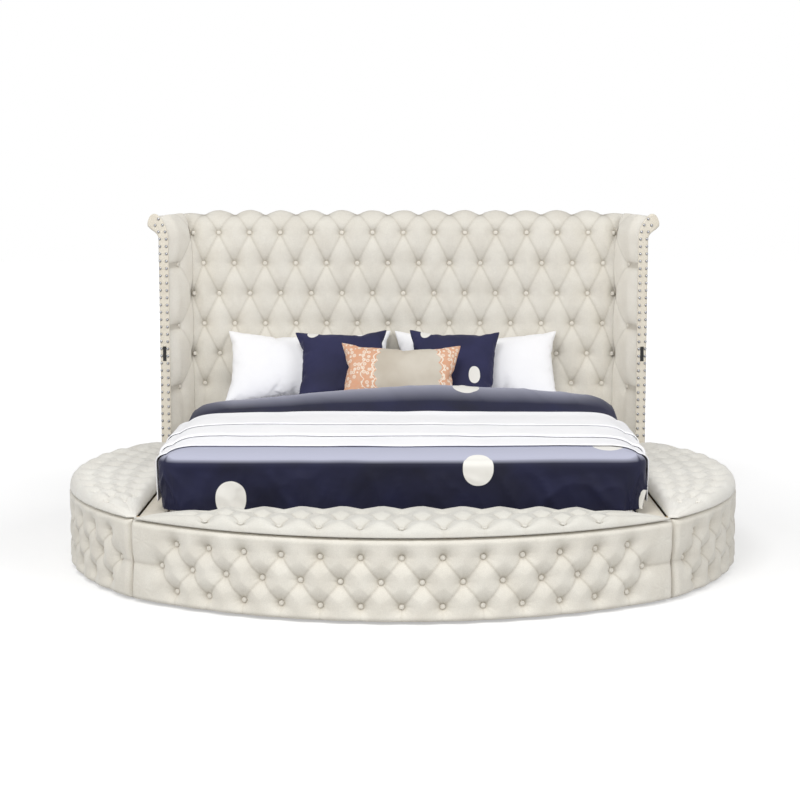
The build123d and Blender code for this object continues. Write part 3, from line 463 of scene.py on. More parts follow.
def lid_padding(name, body, ends, middle_rows, outline, radius, sign, replaced, crease,
                depth_share, material):
    """A crowned, tufted lid cushion. outline gives x, y and the fullness by angle and depth."""
    low, high = ends
    nu, nv = 440, 110
    t = np.linspace(0, 1, nu)
    t = 0.7 * t + 0.3 * (0.5 - 0.5 * np.cos(np.pi * t))
    w = np.linspace(0, 1, nv)
    w = 0.55 * w + 0.45 * (0.5 - 0.5 * np.cos(np.pi * w))
    param, v = np.broadcast_arrays((low + (high - low) * t)[:, None], w[None, :])
    x, y, fullness, depth = outline(param, v)
    middle = (low + high) / 2
    u = (param - middle) * radius / (PITCH / 2)
    steps = int(((high - low) * radius / 2 - 1.5 * PITCH) / (PITCH / 2))
    step = middle_rows[1] - middle_rows[0]
    last = len(middle_rows) - 1
    k = (v - middle_rows[0]) / step
    cell = (PITCH / 2, 0.1)
    # tufting's second value is painted shade for the creases and button rings.
    share, shade_marks = tufting(u, k, 0, last, cell, steps, crease, above=crease / 2,
                          below=crease * 0.8, dimple=0.034)
    seat = 1 - depth_share
    h = LID_CROWN * (seat + (depth_share + 0.02) * share) + pucker(u, k, 0, cell, 5)
    ends_gap = np.minimum(param - low, high - param) * radius
    edge = rim(ends_gap, 0.10) * rim(v * depth, 0.04) * rim((1 - v) * depth, 0.05)
    level = LID_TIP + (np.maximum(h, 0.004) - LID_TIP) * fullness
    z = LID_BOTTOM + LID_EDGE + (level - LID_EDGE) * edge
    z = z + 0.0012 * noise2(u * 1.9 + 70, k * 1.9 + 70, 6) * edge
    front = np.stack([sign * x, y, z], -1)
    back = front[:, [0, -1]].copy()
    back[..., 2] = LID_BOTTOM + LID_BACK
    pad = closed_pad(name, front, back, material, shade_marks * crease * 2)
    finish_piece(pad, replaced, body)
    centres = []
    for n in range(-steps, steps + 1):
        for row in range(n % 2, last + 1, 2):
            angle = np.float64(middle + n * PITCH / 2 / radius)
            bx, by, full, _ = outline(angle, np.float64(middle_rows[row]))
            level = LID_TIP + (LID_CROWN * seat + 0.002 - LID_TIP) * full
            centres.append(((sign * bx, by, LID_BOTTOM + level + 0.001), (0, 0, 1)))
    return centres


LID_CROWN, LID_TIP, LID_TAPER = 0.062, 0.012, 1.6
LID_EDGE, LID_BACK = 0.007, 0.0015
front_lid_r = FRONT_R - LID_INSET
front_back = CORNER_Y - LID_GAP
tip_x = math.sqrt(front_lid_r ** 2 - (FRONT_CY - front_back) ** 2) - LID_TIP
front_tip = math.asin(tip_x / front_lid_r)


def front_outline(angle, v):
    edge = FRONT_CY - front_lid_r * np.cos(angle)
    depth = front_back - edge
    widest = front_back - (FRONT_CY - front_lid_r)
    return (front_lid_r * np.sin(angle), front_back - depth * v,
            np.minimum(1, depth / widest * LID_TAPER), depth)


side_lid_r = SIDE_R - LID_INSET
side_inner = HINGE_X + LID_GAP
lid_front, lid_rear = CORNER_Y + 0.020, REAR_Y - 0.006


def side_outline(angle, v):
    outer = side_lid_r * np.sin(angle)
    depth = outer - side_inner
    return (side_inner + depth * v, SIDE_CY - side_lid_r * np.cos(angle),
            np.minimum(1, depth / (side_lid_r - side_inner) * LID_TAPER), depth)


front_lid_buttons = lid_padding("front_lid_padding", "front_lid", (-front_tip, front_tip),
                                (0.26, 0.57, 0.88), front_outline, front_lid_r, 1,
                                "front_lid_pad", 0.42, 0.60, VELVET_FRONT_LID_PAINTED_SHADE)
add_buttons("front_lid_covered_buttons", front_lid_buttons, "front_lid_buttons", "front_lid",
            VELVET_FRONT_LID_PAINTED_SHADE)
side_ends = (math.acos((SIDE_CY - lid_front) / side_lid_r),
             math.acos((SIDE_CY - lid_rear) / side_lid_r))
for side, sign in (("right", 1), ("left", -1)):
    centres = lid_padding(side + "_lid_padding", side + "_lid", side_ends,
                          (0.2, 0.4, 0.6, 0.8), side_outline, side_lid_r, sign,
                          side + "_lid_pad", 0.22, 0.42, VELVET_LID_PAINTED_LIGHT)
    add_buttons(side + "_lid_covered_buttons", centres, side + "_lid_buttons", side + "_lid",
                VELVET_LID_PAINTED_LIGHT)


# Headboard

def head_path(travel):
    """Point and outward direction on the headboard's board, by travel from the floor."""
    cap = HEAD_BOARD / 2
    a1 = np.clip((travel - ROLL_START) / ROLL_CORE, 0, ROLL_SWING)
    turn = np.clip((travel - ROLL_END) / cap, 0, math.pi)
    p = ROLL_SHOW - ROLL_CORE * np.cos(a1)
    z = np.minimum(travel, ROLL_START) + ROLL_CORE * np.sin(a1)
    facing = math.pi - a1 - turn
    centre_p = ROLL_SHOW - ROLL_MID * math.cos(ROLL_SWING)
    centre_z = ROLL_START + ROLL_MID * math.sin(ROLL_SWING)
    over = turn > 0
    p = np.where(over, centre_p + cap * np.cos(facing), p)
    z = np.where(over, centre_z + cap * np.sin(facing), z)
    return p, z, np.cos(facing), np.sin(facing)


HEAD_HALF = HEAD_CORNER_X - 0.004
HEAD_STEPS, CORNER_SEAT = 13, 0.023
HEAD_EVEN = HEAD_STEPS * HEAD_PITCH / 2
first_row = ROLL_START + ROLL_CORE * ROLL_SWING * 0.22
crest_row = ROLL_END + HEAD_BOARD / 4


def head_row_number(travel):
    return np.where(travel <= first_row, 1 + (first_row - travel) / HEAD_ROW,
                    (crest_row - travel) / (crest_row - first_row))


def make_headboard():
    cap_end = ROLL_END + math.pi * HEAD_BOARD / 2
    straight = np.arange(HEAD_FOOT, ROLL_START, HEAD_STEP)
    bent = np.linspace(ROLL_START, cap_end, 46)
    travel = np.concatenate([straight, bent])[::-1][None, :]
    x = np.linspace(-HEAD_HALF, HEAD_HALF, 400)[:, None]
    x, travel = np.broadcast_arrays(x, travel)
    u = np.sign(x) * np.interp(np.abs(x), (0, HEAD_EVEN, HEAD_CORNER_X - 0.014, 1.2),
                               (0, HEAD_STEPS, HEAD_STEPS + 1, 14.2))
    v = head_row_number(travel)
    cell = (HEAD_PITCH / 2, HEAD_ROW)
    # tufting's second value is painted shade for the creases and button rings.
    share, shade_marks = tufting(u, v, 1, 6, cell, above=0.2)
    crest = smooth((1 - v) / 0.9)
    share = share + crest * 0.35 * (0.9 - share)
    h = HEAD_PAD * (0.16 + 0.90 * share) + pucker(u, v, 1, cell, 11)
    h = h + 0.0014 * noise2(u * 2.1 + 50, v * 2.1 + 50, 12)
    fade = smooth((cap_end - travel) / 0.03)
    h = h * (0.25 + 0.75 * fade)
    reach = np.clip((np.abs(x) - HEAD_EVEN) / (HEAD_HALF - HEAD_EVEN), 0, 1)
    h = h * (1 - 0.5 * reach * smooth((travel - ROLL_START) / 0.07))
    h = np.maximum(h, 0.020 * smooth((reach - 0.55) / 0.4) * fade)
    p, z, fp, fz = head_path(travel)
    z_at = z + fz * h
    rise = np.clip(z_at - ROLL_START, 0, 0.13)
    spread = (WING_CENTRE - np.sqrt(WING_CENTRE ** 2 - rise ** 2)) / math.cos(WING_SPLAY)
    xs = x + np.sign(x) * reach * spread * 0.9
    front = np.stack([xs, HEAD_Y + p + fp * h, z_at], -1)
    ends = [0, -1]
    back = np.stack([x[ends], HEAD_Y + p[ends], z[ends]], -1)
    pad = closed_pad("headboard_padding", front, back, VELVET, shade_marks)
    finish_piece(pad, "headboard_pad")
    centres = []
    for k in range(7):
        t = np.float64(crest_row if k == 0 else first_row - (k - 1) * HEAD_ROW)
        p, z, fp, fz = head_path(t)
        seat_y, seat_z = HEAD_Y + p + fp * BUTTON_SEAT, z + fz * BUTTON_SEAT
        for n in range(-HEAD_STEPS, HEAD_STEPS + 1):
            if (n + k) % 2 == 1:
                centres.append(((n * HEAD_PITCH / 2, seat_y, seat_z), (0, fp, fz)))
        for side in (-1, 1):
            if k % 2:
                centres.append(((side * (HEAD_CORNER_X - CORNER_SEAT),
                                 HEAD_Y + p + fp * CORNER_SEAT, z), (-side, -1, 0)))
    add_buttons("headboard_covered_buttons", centres, "headboard_buttons")


make_headboard()


# Wings

def wing_point(reach, inset, z, side):
    """Place by the reach forward of the corner and the inset outward of the inner face."""
    sin, cos = math.sin(WING_SPLAY), math.cos(WING_SPLAY)
    reach, inset, z = np.broadcast_arrays(reach, inset, z)
    x = HEAD_CORNER_X + reach * sin + inset * cos
    return np.stack([side * x, HEAD_Y - reach * cos + inset * sin, z], -1)


WING_COLUMN = 0.55 * (WING_DEPTH - WING_BAND)
WING_TOP_ROW = 0.13
WING_FULL, WING_SEAT = 0.040, 0.018


def wing_place(reach, travel, depth, side, pivot):
    """A point on the wing by travel up its rolled face; depth is inward of the pivot radius."""
    bend = np.clip((travel - ROLL_START) / pivot, 0, None)
    inset = np.where(travel > ROLL_START, WING_CENTRE - (pivot + depth) * np.cos(bend),
                     WING_CENTRE - pivot - depth)
    z = np.where(travel > ROLL_START, ROLL_START + (pivot + depth) * np.sin(bend), travel)
    return wing_point(reach, inset, z, side)


def make_wing(side, sign):
    front = WING_DEPTH - WING_BAND
    pivot = WING_CENTRE - WING_PAD
    top = ROLL_START + pivot * ROLL_SWING
    travel = np.concatenate([np.arange(HEAD_FOOT, ROLL_START, HEAD_STEP),
                             np.linspace(ROLL_START, top + 0.006, 30)])[::-1][None, :]
    reach = np.linspace(0.0, front, 56)[:, None]
    reach, travel = np.broadcast_arrays(reach, travel)
    u = HEAD_STEPS + 1 + (reach + 0.02) / (WING_COLUMN + 0.02)
    v = np.minimum(head_row_number(travel), 7)
    v = np.where(travel > first_row, np.maximum(1 - (travel - first_row) / WING_TOP_ROW, 0), v)
    cell = (WING_COLUMN + 0.02, HEAD_ROW)
    # tufting's second value is painted shade for the creases and button rings.
    share, shade_marks = tufting(np.minimum(u, 15), v, 1, 6, cell)
    h = WING_FULL * (0.42 + 0.58 * share) + 0.6 * pucker(u, v, 1, cell, 21)
    edge = smooth((front - reach) / 0.10)
    h = WING_PAD * 0.9 * (1 - edge) + h * edge
    h = np.maximum(h, 0.026 * (1 - smooth((reach - 0.012) / 0.04)))
    tip = smooth((top + 0.006 - travel) / 0.02)
    h = h * (0.3 + 0.7 * tip)
    face = wing_place(reach, travel, h, sign, pivot)
    back = wing_place(reach[[0, -1]], travel[[0, -1]], PAD_BACK, sign, pivot)
    pad = closed_pad(side + "_wing_padding", face, back, VELVET_WING_PAINTED_LIGHT, 0.8 * shade_marks)
    finish_piece(pad, side + "_wing_pad")
    centres = []
    for k in range(0, 7, 2):
        t = first_row - (k - 1) * HEAD_ROW if k else first_row + WING_TOP_ROW
        if t < top:
            at = np.float64(WING_COLUMN), np.float64(t)
            seat = wing_place(*at, WING_SEAT, sign, pivot)
            centres.append((seat, wing_place(*at, WING_SEAT + 0.01, sign, pivot) - seat))
    return centres


BAND_LOBE = 0.026


def make_band(side, sign):
    """The smooth strip up a wing's front edge, with a fuller lobe where its top rolls out."""
    tip_radius = WING_TOTAL / 2
    mid = WING_CENTRE - WING_TOTAL / 2
    steps = [("up", z) for z in np.linspace(0.012, ROLL_START, 120)]
    steps += [("bend", a) for a in np.linspace(0, ROLL_SWING, 26)[1:]]
    steps += [("cap", a) for a in np.linspace(0, math.pi / 2, 14)[1:]]
    across = np.linspace(-1, 1, 17)
    bulge = rim(1 - np.abs(across), 0.35)
    rows = []
    for kind, value in steps:
        if kind == "up":
            centre, along = (WING_TOTAL / 2, value), (0, 1)
            half, full = tip_radius, 0
        else:
            a = value if kind == "bend" else ROLL_SWING
            centre = (WING_CENTRE - mid * math.cos(a), ROLL_START + mid * math.sin(a))
            along = (math.sin(a), math.cos(a))
            half, full = tip_radius, BAND_LOBE * float(smooth(a / 0.75))
            if kind == "cap":
                centre = (centre[0] + along[0] * tip_radius * math.sin(value),
                          centre[1] + along[1] * tip_radius * math.sin(value))
                half = tip_radius * max(math.cos(value), 0.02)
                full *= math.cos(value)
        out = (along[1], -along[0])
        reach = across * half + np.clip(across, 0, 1) * full
        inset = centre[0] + out[0] * reach
        z = centre[1] + out[1] * reach
        rows.append(wing_point(WING_DEPTH - 0.0065 + 0.0045 * bulge, inset, z, sign))
    face = np.stack(rows, 1)
    inward = (wing_point(WING_DEPTH - WING_BAND, 0, 0, sign)
              - wing_point(WING_DEPTH - 0.004, 0, 0, sign))
    band = closed_pad(side + "_wing_band", face, face[[0, -1]] + inward, VELVET_BAND)
    finish_piece(band, side + "_wing_front_band")


NAIL_PITCH, NAIL_INSET, NAIL_LOWEST = 0.037, 0.009, 0.425
NAIL_R, NAIL_HEIGHT = 0.0070, 0.0042


def nail_places():
    """Inset and height of each nail: two columns, down from the roll and then out over it."""
    found = []
    for inset in (NAIL_INSET, WING_TOTAL - NAIL_INSET):
        for k in range(int((ROLL_START - NAIL_LOWEST) / NAIL_PITCH) + 1):
            found.append((inset, ROLL_START - k * NAIL_PITCH))
        radius = WING_CENTRE - inset
        for k in range(1, int(radius * ROLL_SWING / NAIL_PITCH) + 1):
            a = k * NAIL_PITCH / radius
            found.append((WING_CENTRE - radius * math.cos(a), ROLL_START + radius * math.sin(a)))
    return found


chrome = Surface("nail_chrome", 0.16, metallic=1.0)
chrome.shade(Base_Color=(0.33, 0.33, 0.34, 1))
chrome.bump(chrome.noise(900.0), 0.05, 0.0004)
forward = Vector((math.sin(WING_SPLAY), -math.cos(WING_SPLAY), 0))
wing_buttons, nails = [], []
for side, sign in (("right", 1), ("left", -1)):
    wing_buttons += make_wing(side, sign)
    make_band(side, sign)
    out = (sign * forward.x, forward.y, 0)
    for inset, z in nail_places():
        nails.append((wing_point(WING_DEPTH + 0.0004, inset, z, sign), out))
add_buttons("wing_covered_buttons", wing_buttons, "wing_buttons")
obj = add_object("wing_nail_domes", *button_mesh(nails, NAIL_R, NAIL_HEIGHT), chrome.mat)
finish_piece(obj, "wing_nailheads")


# Bedding

def cotton(name, color, color_low, weave=700.0, rough=0.75, sheen=0.15):
    """Woven cotton: the surface, and the output that carries its colour."""
    s = Surface(name, rough, sheen=sheen)
    base = s.mix(s.ramp(s.noise(5.0, 3.0), 0.3, 0.7), srgb(*color_low), srgb(*color))
    s.shade(Base_Color=base)
    place = s.place()
    threads = [s.node("TexWave", bands_direction=axis, Scale=weave / 6.28, Distortion=1.2,
                      Vector=place).outputs["Fac"] for axis in ("X", "Z")]
    first = s.bump(s.math("MAXIMUM", *threads), 0.12, 0.0004)
    s.bump(s.noise(60.0, 4.0, 0.6), 0.12, 0.0012, below=first)
    return s, base


def oval_mask(s, centres, half):
    """1 inside any of the ovals, whose centres are in the cloth's own flat metres."""
    spot = s.cloth()[1:]
    wobble = s.math("MULTIPLY", s.math("SUBTRACT", s.noise(14.0), 0.5), 0.10)
    nearest = None
    for centre in centres:
        parts = []
        for at, middle, reach in zip(spot, centre, half):
            away = s.math("DIVIDE", s.math("SUBTRACT", at, middle), reach)
            parts.append(s.math("POWER", s.math("ABSOLUTE", away), 2.2))
        r = s.math("ADD", *parts)
        nearest = r if nearest is None else s.math("MINIMUM", nearest, r)
    return s.ramp(s.math("ADD", nearest, wobble), 0.97, 1.03, 1.0, 0.0)


def painted_sheen_zone(s):
    """Painted sheen on the quilt: a paler band across its top at the foot, and a fainter one on the
    roll's crest.
    """
    _, x, y = s.cloth()
    x = s.math("ABSOLUTE", x)
    foot = s.math("MULTIPLY", s.ramp(y, -0.112, -0.086), s.ramp(y, 0.1, 0.3, 0.9, 0.0))
    foot = s.math("MULTIPLY", foot, s.ramp(x, 0.985, 1.015, 1.0, 0.0))
    crown = s.math("MULTIPLY", s.ramp(y, 0.98, 1.14, 0.0, 0.72),
                   s.ramp(x, 0.80, 1.0, 1.0, 0.0))
    return s.math("MAXIMUM", foot, crown)


QUILT_COLORS = (23, 25, 55), (13, 14, 35)
CUSHION_COLORS = (40, 41, 77), (28, 29, 58)
# The first colour is painted sheen for the quilt; the second is the ovals' own colour.
PAINTED_SHEEN, OVAL = srgb(187, 189, 207), srgb(232, 230, 224)
SHEET_COLORS = (251, 251, 253), (246, 246, 249)


def spotted(name, centres, half, colors, pale=False):
    """Navy cotton with pale ovals, and with painted sheen on the quilt when pale is set."""
    s, base = cotton(name, *colors, rough=0.7, sheen=0.12)
    s.shade(Specular_IOR_Level=0.3, Sheen_Roughness=0.30, Sheen_Tint=(0.80, 0.82, 1.0, 1))
    # Painted sheen: the quilt turns paler where satin would catch the light.
    if pale:
        base = s.mix(painted_sheen_zone(s), base, PAINTED_SHEEN)
    s.shade(Base_Color=s.mix(oval_mask(s, centres, half), base, OVAL))
    return s.mat


def set_uv(obj, coords):
    layer = obj.data.uv_layers.new(name="cloth")
    for loop in obj.data.loops:
        layer.data[loop.index].uv = coords[loop.vertex_index]


DUVET_HALF, DUVET_FRONT, DUVET_REAR = 1.015, -0.8746, 0.8454
DUVET_TOP, HEM, SHOULDER = 0.617, 0.366, 0.552
CORNER, EDGE = 0.11, 0.028
INNER_HALF, INNER_FRONT = DUVET_HALF - CORNER, DUVET_FRONT + CORNER
QUILT_ARC = EDGE * math.pi / 2
QUILT_REACH = CORNER - EDGE + QUILT_ARC + SHOULDER - HEM


def fold_lines(x, y, seed, slant):
    """Thin soft ridges, as sleep and packing leave in cotton."""
    c, t = math.cos(slant), math.sin(slant)
    p, q = x * c + y * t, y * c - x * t
    warp = 0.5 * noise2(p * 2.1 + 30, q * 2.1 + 30, seed)
    broad = 1 - np.abs(noise2(p * 6.5 + warp + 40, q * 1.7 + warp + 40, seed + 1))
    fine = 1 - np.abs(noise2(p * 17 + 3 * warp + 40, q * 4.5 + warp + 40, seed + 2))
    return 0.7 * broad ** 7 + 0.35 * fine ** 6


def duvet_top(x, y):
    """Height of the quilt's top: flat at the foot, with a full roll in front of the cushions."""
    roll = smooth((y - 0.02) / 0.36) * (1 - smooth((y - 0.40) / 0.10))
    rear = smooth((y - 0.02) / 0.5)
    side = np.clip(np.abs(x), 0, 1)
    slope = np.clip(np.abs(x - 0.18), 0, 1.1) ** 1.3
    z = DUVET_TOP + 0.132 * roll - 0.080 * roll * slope - 0.030 * (rear - roll) * side ** 2
    edge = np.minimum(DUVET_HALF - EDGE - np.abs(x), y - DUVET_FRONT - EDGE)
    z = z - 0.037 * np.exp(-np.clip(edge, 0, None) / 0.045)
    waves = 0.004 * noise2(x * 3.1 + 9, y * 2.3 + 9, 31)
    waves = waves + 0.0015 * noise2(x * 9 + 4, y * 6 + 4, 32)
    return z + waves + 0.006 * roll * fold_lines(x, y, 33, 0.5)


def quilt_point(across, along):
    """Place on the quilt by its own flat metres, from the middle and from the foot's inner line."""
    qx, qy = np.clip(np.abs(across) - INNER_HALF, 0, None), np.clip(-along, 0, None)
    q = np.maximum(qx, qy)
    way = np.arctan2(qy, qx)
    turn = np.clip((q - CORNER + EDGE) / EDGE, 0, math.pi / 2)
    out = np.minimum(q, CORNER - EDGE) + EDGE * np.sin(turn)
    hang = np.clip(q - CORNER + EDGE - QUILT_ARC, 0, None)
    fall = hang / (SHOULDER - HEM)
    wave = 0.005 * np.sin(8.0 * (across + along) + 2 * noise2(across * 1.3, along * 1.3, 41))
    wave = wave * fall + 0.0035 * noise2(across * 5 + 60, along * 5 + 60, 42) * smooth(hang / 0.03)
    crease = fold_lines(across, along, 43, 0.5) + fold_lines(across, along, 53, -0.3)
    out = out + wave + 0.013 * (crease - 0.4) * smooth(hang / 0.05) - 0.018 * fall
    x = np.sign(across) * (np.minimum(np.abs(across), INNER_HALF) + np.cos(way) * out * (q > 0))
    y = INNER_FRONT + np.clip(along, 0, None) - np.sin(way) * out * (q > 0)
    top = duvet_top(np.clip(x, -DUVET_HALF + EDGE, DUVET_HALF - EDGE),
                    np.maximum(y, DUVET_FRONT + EDGE))
    level = SHOULDER + (top - SHOULDER) * np.cos(turn) - hang
    return np.stack([x, y, level], -1)


FINE, COARSE = 0.0075, 0.0135
OVAL_HALF = (0.063, 0.074)
OVALS = [(-0.705, -0.262), (0.312, -0.131), (1.20, -0.10), (0.858, 0.045), (0.30, 1.125),
         (-0.20, 0.52), (0.62, 0.62), (-0.42, 0.20), (1.16, 0.55), (-1.15, 0.42),
         (-1.14, 1.15), (1.13, 1.22), (-0.55, 1.45), (0.70, 1.42)]


def make_duvet():
    """The quilt: a coarse mesh on its flat top, a fine one over its edges and sides."""
    half = INNER_HALF + QUILT_REACH
    edge = np.concatenate([np.arange(INNER_HALF + 0.075, half, FINE), [half]])
    top = np.arange(-INNER_HALF - 0.07, INNER_HALF + 0.07, COARSE)
    across = np.concatenate([-edge[::-1], top, edge])
    along = np.concatenate([[-QUILT_REACH], -np.arange(0.075, QUILT_REACH, FINE)[::-1],
                            np.arange(-0.068, DUVET_REAR - INNER_FRONT, COARSE)])
    flat_x, flat_y = np.meshgrid(across, along, indexing="ij")
    face = quilt_point(flat_x, flat_y)
    step_x, step_y = np.gradient(face, axis=0), np.gradient(face, axis=1)
    normal = np.cross(step_x, step_y)
    normal /= np.linalg.norm(normal, axis=-1, keepdims=True) + 1e-12
    q = np.maximum(np.abs(flat_x) - INNER_HALF, -flat_y)
    inner = face - normal * (0.014 + 0.010 * (q < 0))[..., None]
    # pale adds the painted sheen across the foot and on the roll.
    navy = spotted("quilt_navy", OVALS, OVAL_HALF, QUILT_COLORS, pale=True)
    duvet = add_object("duvet_quilt", *two_sided(face, inner), navy)
    flat = np.stack([flat_x, flat_y], -1).reshape(-1, 2).tolist()
    set_uv(duvet, flat + flat)
    mend_normals(duvet)
    finish_piece(duvet, "duvet")


make_duvet()

THROW_START = -0.73463
THROW_END = THROW_START + 0.84
LAYER, THROW_THICK = 0.0070, 0.0042
THROW_SIDE, THROW_HEM = 0.548, 0.384
THROW_ROUND = 0.05
THROW_FLAT = DUVET_HALF + 0.011 - THROW_ROUND


def section_point(c, y, lift):
    """A point on the throw's cross-section: c is the distance from the middle across the bed."""
    over = np.abs(c)
    a = np.clip((over - THROW_FLAT) / THROW_ROUND, 0, math.pi / 2)
    x = np.minimum(over, THROW_FLAT) + (THROW_ROUND + lift) * np.sin(a)
    reach = np.clip(x, 0, DUVET_HALF - EDGE)
    top = duvet_top(np.sign(c) * reach, y) + 0.004
    drop = np.clip(over - THROW_FLAT - THROW_ROUND * math.pi / 2, 0, None)
    side = THROW_SIDE - drop
    z = side + (top + lift - side) * np.cos(a) ** 0.8
    return np.sign(c) * (x - 0.03 * drop), z


def throw_path():
    """The throw's side view: place along the bed and height, through four layers."""
    y0, y1 = THROW_START, THROW_END
    turns = (y0, y1 - 0.012, y0 + 0.22, y1 - 0.02, y0 + 0.48)
    path = []
    for level, (start, end) in enumerate(zip(turns, turns[1:])):
        for y in np.linspace(start, end, max(int(abs(end - start) / 0.02), 2)):
            path.append((y, level * LAYER))
        way = 1 if end > start else -1
        for k in range(1, 6 if level < 3 else 1):
            a = math.pi * k / 6
            path.append((end + way * LAYER * 0.7 * math.sin(a),
                         (level + 0.5 - 0.5 * math.cos(a)) * LAYER))
    return np.array(path).T


def make_throw():
    """One blanket folded back and forth in four layers, draped over the bed."""
    ys, lifts = throw_path()
    reach = THROW_FLAT + 0.0785 + THROW_SIDE - THROW_HEM
    cc, yy = np.meshgrid(np.linspace(-reach, reach, 230), ys, indexing="ij")
    ll = np.broadcast_to(lifts[None, :], cc.shape)
    wander = 0.003 * noise2(cc * 1.7 + 20, ll * 120 + 3, 51)
    ripple = 0.0012 * noise2(cc * 6 + 11, yy * 9 + 5, 52)
    sheets = []
    for offset in (0, THROW_THICK):
        x, z = section_point(cc, yy, ll + offset + 0.001)
        sheets.append(np.stack([x, yy + wander, z + ripple], -1))
    low, high = sheets
    tangent, lift_step = np.gradient(ys), np.gradient(lifts)
    length = np.hypot(tangent, lift_step) + 1e-9
    ny, nz = -lift_step / length, tangent / length
    middle = (low + high) / 2
    up = high - low
    up = up / (np.linalg.norm(up, axis=-1, keepdims=True) + 1e-9)
    along = np.zeros_like(up)
    along[..., 1] = 1
    side = (along * ny[None, :, None] + up * nz[None, :, None]) * (THROW_THICK / 2)
    white, _ = cotton("throw_white", *SHEET_COLORS, 500.0)
    throw = add_object("folded_throw", *two_sided(middle - side, middle + side), white.mat)
    mend_normals(throw)
    finish_piece(throw, "throw")


make_throw()


def make_mattress():
    """The mattress under its fitted sheet, with soft rounded edges."""
    low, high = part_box("mattress")
    bpy.ops.mesh.primitive_cube_add()
    obj = bpy.context.object
    obj.name = obj.data.name = "mattress_in_sheet"
    size = high - low
    for v in obj.data.vertices:
        v.co = Vector([(low[k] + high[k]) / 2 + v.co[k] * size[k] / 2 for k in range(3)])
    soften = obj.modifiers.new("soft_edges", "BEVEL")
    soften.width, soften.segments = 0.055, 6
    bpy.ops.object.modifier_apply(modifier=soften.name)
    white, _ = cotton("sheet_white", *SHEET_COLORS)
    obj.data.materials.append(white.mat)
    for poly in obj.data.polygons:
        poly.use_smooth = True
    finish_piece(obj, "mattress")
    return white.mat


SHEET = make_mattress()


# Pillows and cushions

def cushion_faces(nx, ny):
    """Faces of two sheets, a grid above and a grid below, that share their rim."""
    top = np.arange((nx + 1) * (ny + 1)).reshape(nx + 1, ny + 1)
    low = top.copy()
    low[1:-1, 1:-1] = top.size + np.arange((nx - 1) * (ny - 1)).reshape(nx - 1, ny - 1)
    top, low = top.tolist(), low.tolist()
    faces = []
    for i in range(nx):
        for j in range(ny):
            faces.append((top[i][j], top[i + 1][j], top[i + 1][j + 1], top[i][j + 1]))
            faces.append((low[i][j], low[i][j + 1], low[i + 1][j + 1], low[i + 1][j]))
    return faces


CUSHION_STEP = 0.0125
CLOTH = {"quality": 6, "mass": 0.25, "tension_stiffness": 25, "compression_stiffness": 25,
         "shear_stiffness": 8, "bending_stiffness": 0.25, "use_pressure": True,
         "uniform_pressure_force": 5.0}


def puffed(name, size, seed, material):
    """A stuffed cushion: two sheets shaped by formula, then blown up by a cloth simulation."""
    width, height, thick = size
    nx, ny = int(width / CUSHION_STEP), int(height / CUSHION_STEP)
    grow, pull, rise = ((1.06, 0.02, 0.35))
    verts, under = [], []
    for i in range(nx + 1):
        for j in range(ny + 1):
            s, t = 2 * i / nx - 1, 2 * j / ny - 1
            x = width / 2 * grow * s * (1 - pull * (1 - t * t))
            y = height / 2 * grow * t * (1 - pull * (1 - s * s))
            z = thick / 2 * ((1 - s ** 2) * (1 - t ** 2)) ** 0.42 * rise
            verts.append((x, y, z))
            if 0 < i < nx and 0 < j < ny:
                under.append((x, y, -z))
    verts += under
    obj = add_object(name, verts, cushion_faces(nx, ny), material)
    set_uv(obj, [v[:2] for v in verts])
    blow_up(obj, seed)
    co = np.array([v.co for v in obj.data.vertices])
    span = co.max(0) - co.min(0)
    co = (co - (co.max(0) + co.min(0)) / 2) * (np.array(size) / span)
    for v, place in zip(obj.data.vertices, co):
        v.co = place
    return obj


def blow_up(obj, seed):
    rng = np.random.default_rng(seed)
    for v in obj.data.vertices:
        v.co.z += float(rng.uniform(-1, 1)) * 0.0015
    cloth = obj.modifiers.new("cloth", "CLOTH")
    for key, value in CLOTH.items():
        setattr(cloth.settings, key, value)
    cloth.settings.effector_weights.gravity = 0
    cloth.collision_settings.use_collision = False
    cloth.point_cache.frame_start, cloth.point_cache.frame_end = 1, 40
    scene = bpy.context.scene
    for k in range(1, 31):
        scene.frame_set(k)
    graph = bpy.context.evaluated_depsgraph_get()
    blown = bpy.data.meshes.new_from_object(obj.evaluated_get(graph))
    obj.modifiers.remove(cloth)
    for v, w in zip(obj.data.vertices, blown.vertices):
        v.co = w.co
    bpy.data.meshes.remove(blown)
    scene.frame_set(1)


def lean_in_place(obj, cad_node, tilt=0.0, lean_deg=42, lift=0.0, shift=0.0):
    """Leans a cushion back at the CAD node's place."""
    low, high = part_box(cad_node)
    centre = (low + high) / 2 + Vector((shift, 0, lift))
    lean = math.radians(lean_deg)
    forward = Vector((0, -math.cos(lean), math.sin(lean)))
    upward = Vector((0, math.sin(lean), math.cos(lean)))
    c, s = math.cos(tilt), math.sin(tilt)
    for v in obj.data.vertices:
        x, y = v.co.x * c - v.co.y * s, v.co.x * s + v.co.y * c
        v.co = centre + Vector((1, 0, 0)) * x + upward * y + forward * v.co.z
    soften = obj.modifiers.new("soften", "SUBSURF")
    soften.levels = soften.render_levels = 1
    mend_normals(obj)


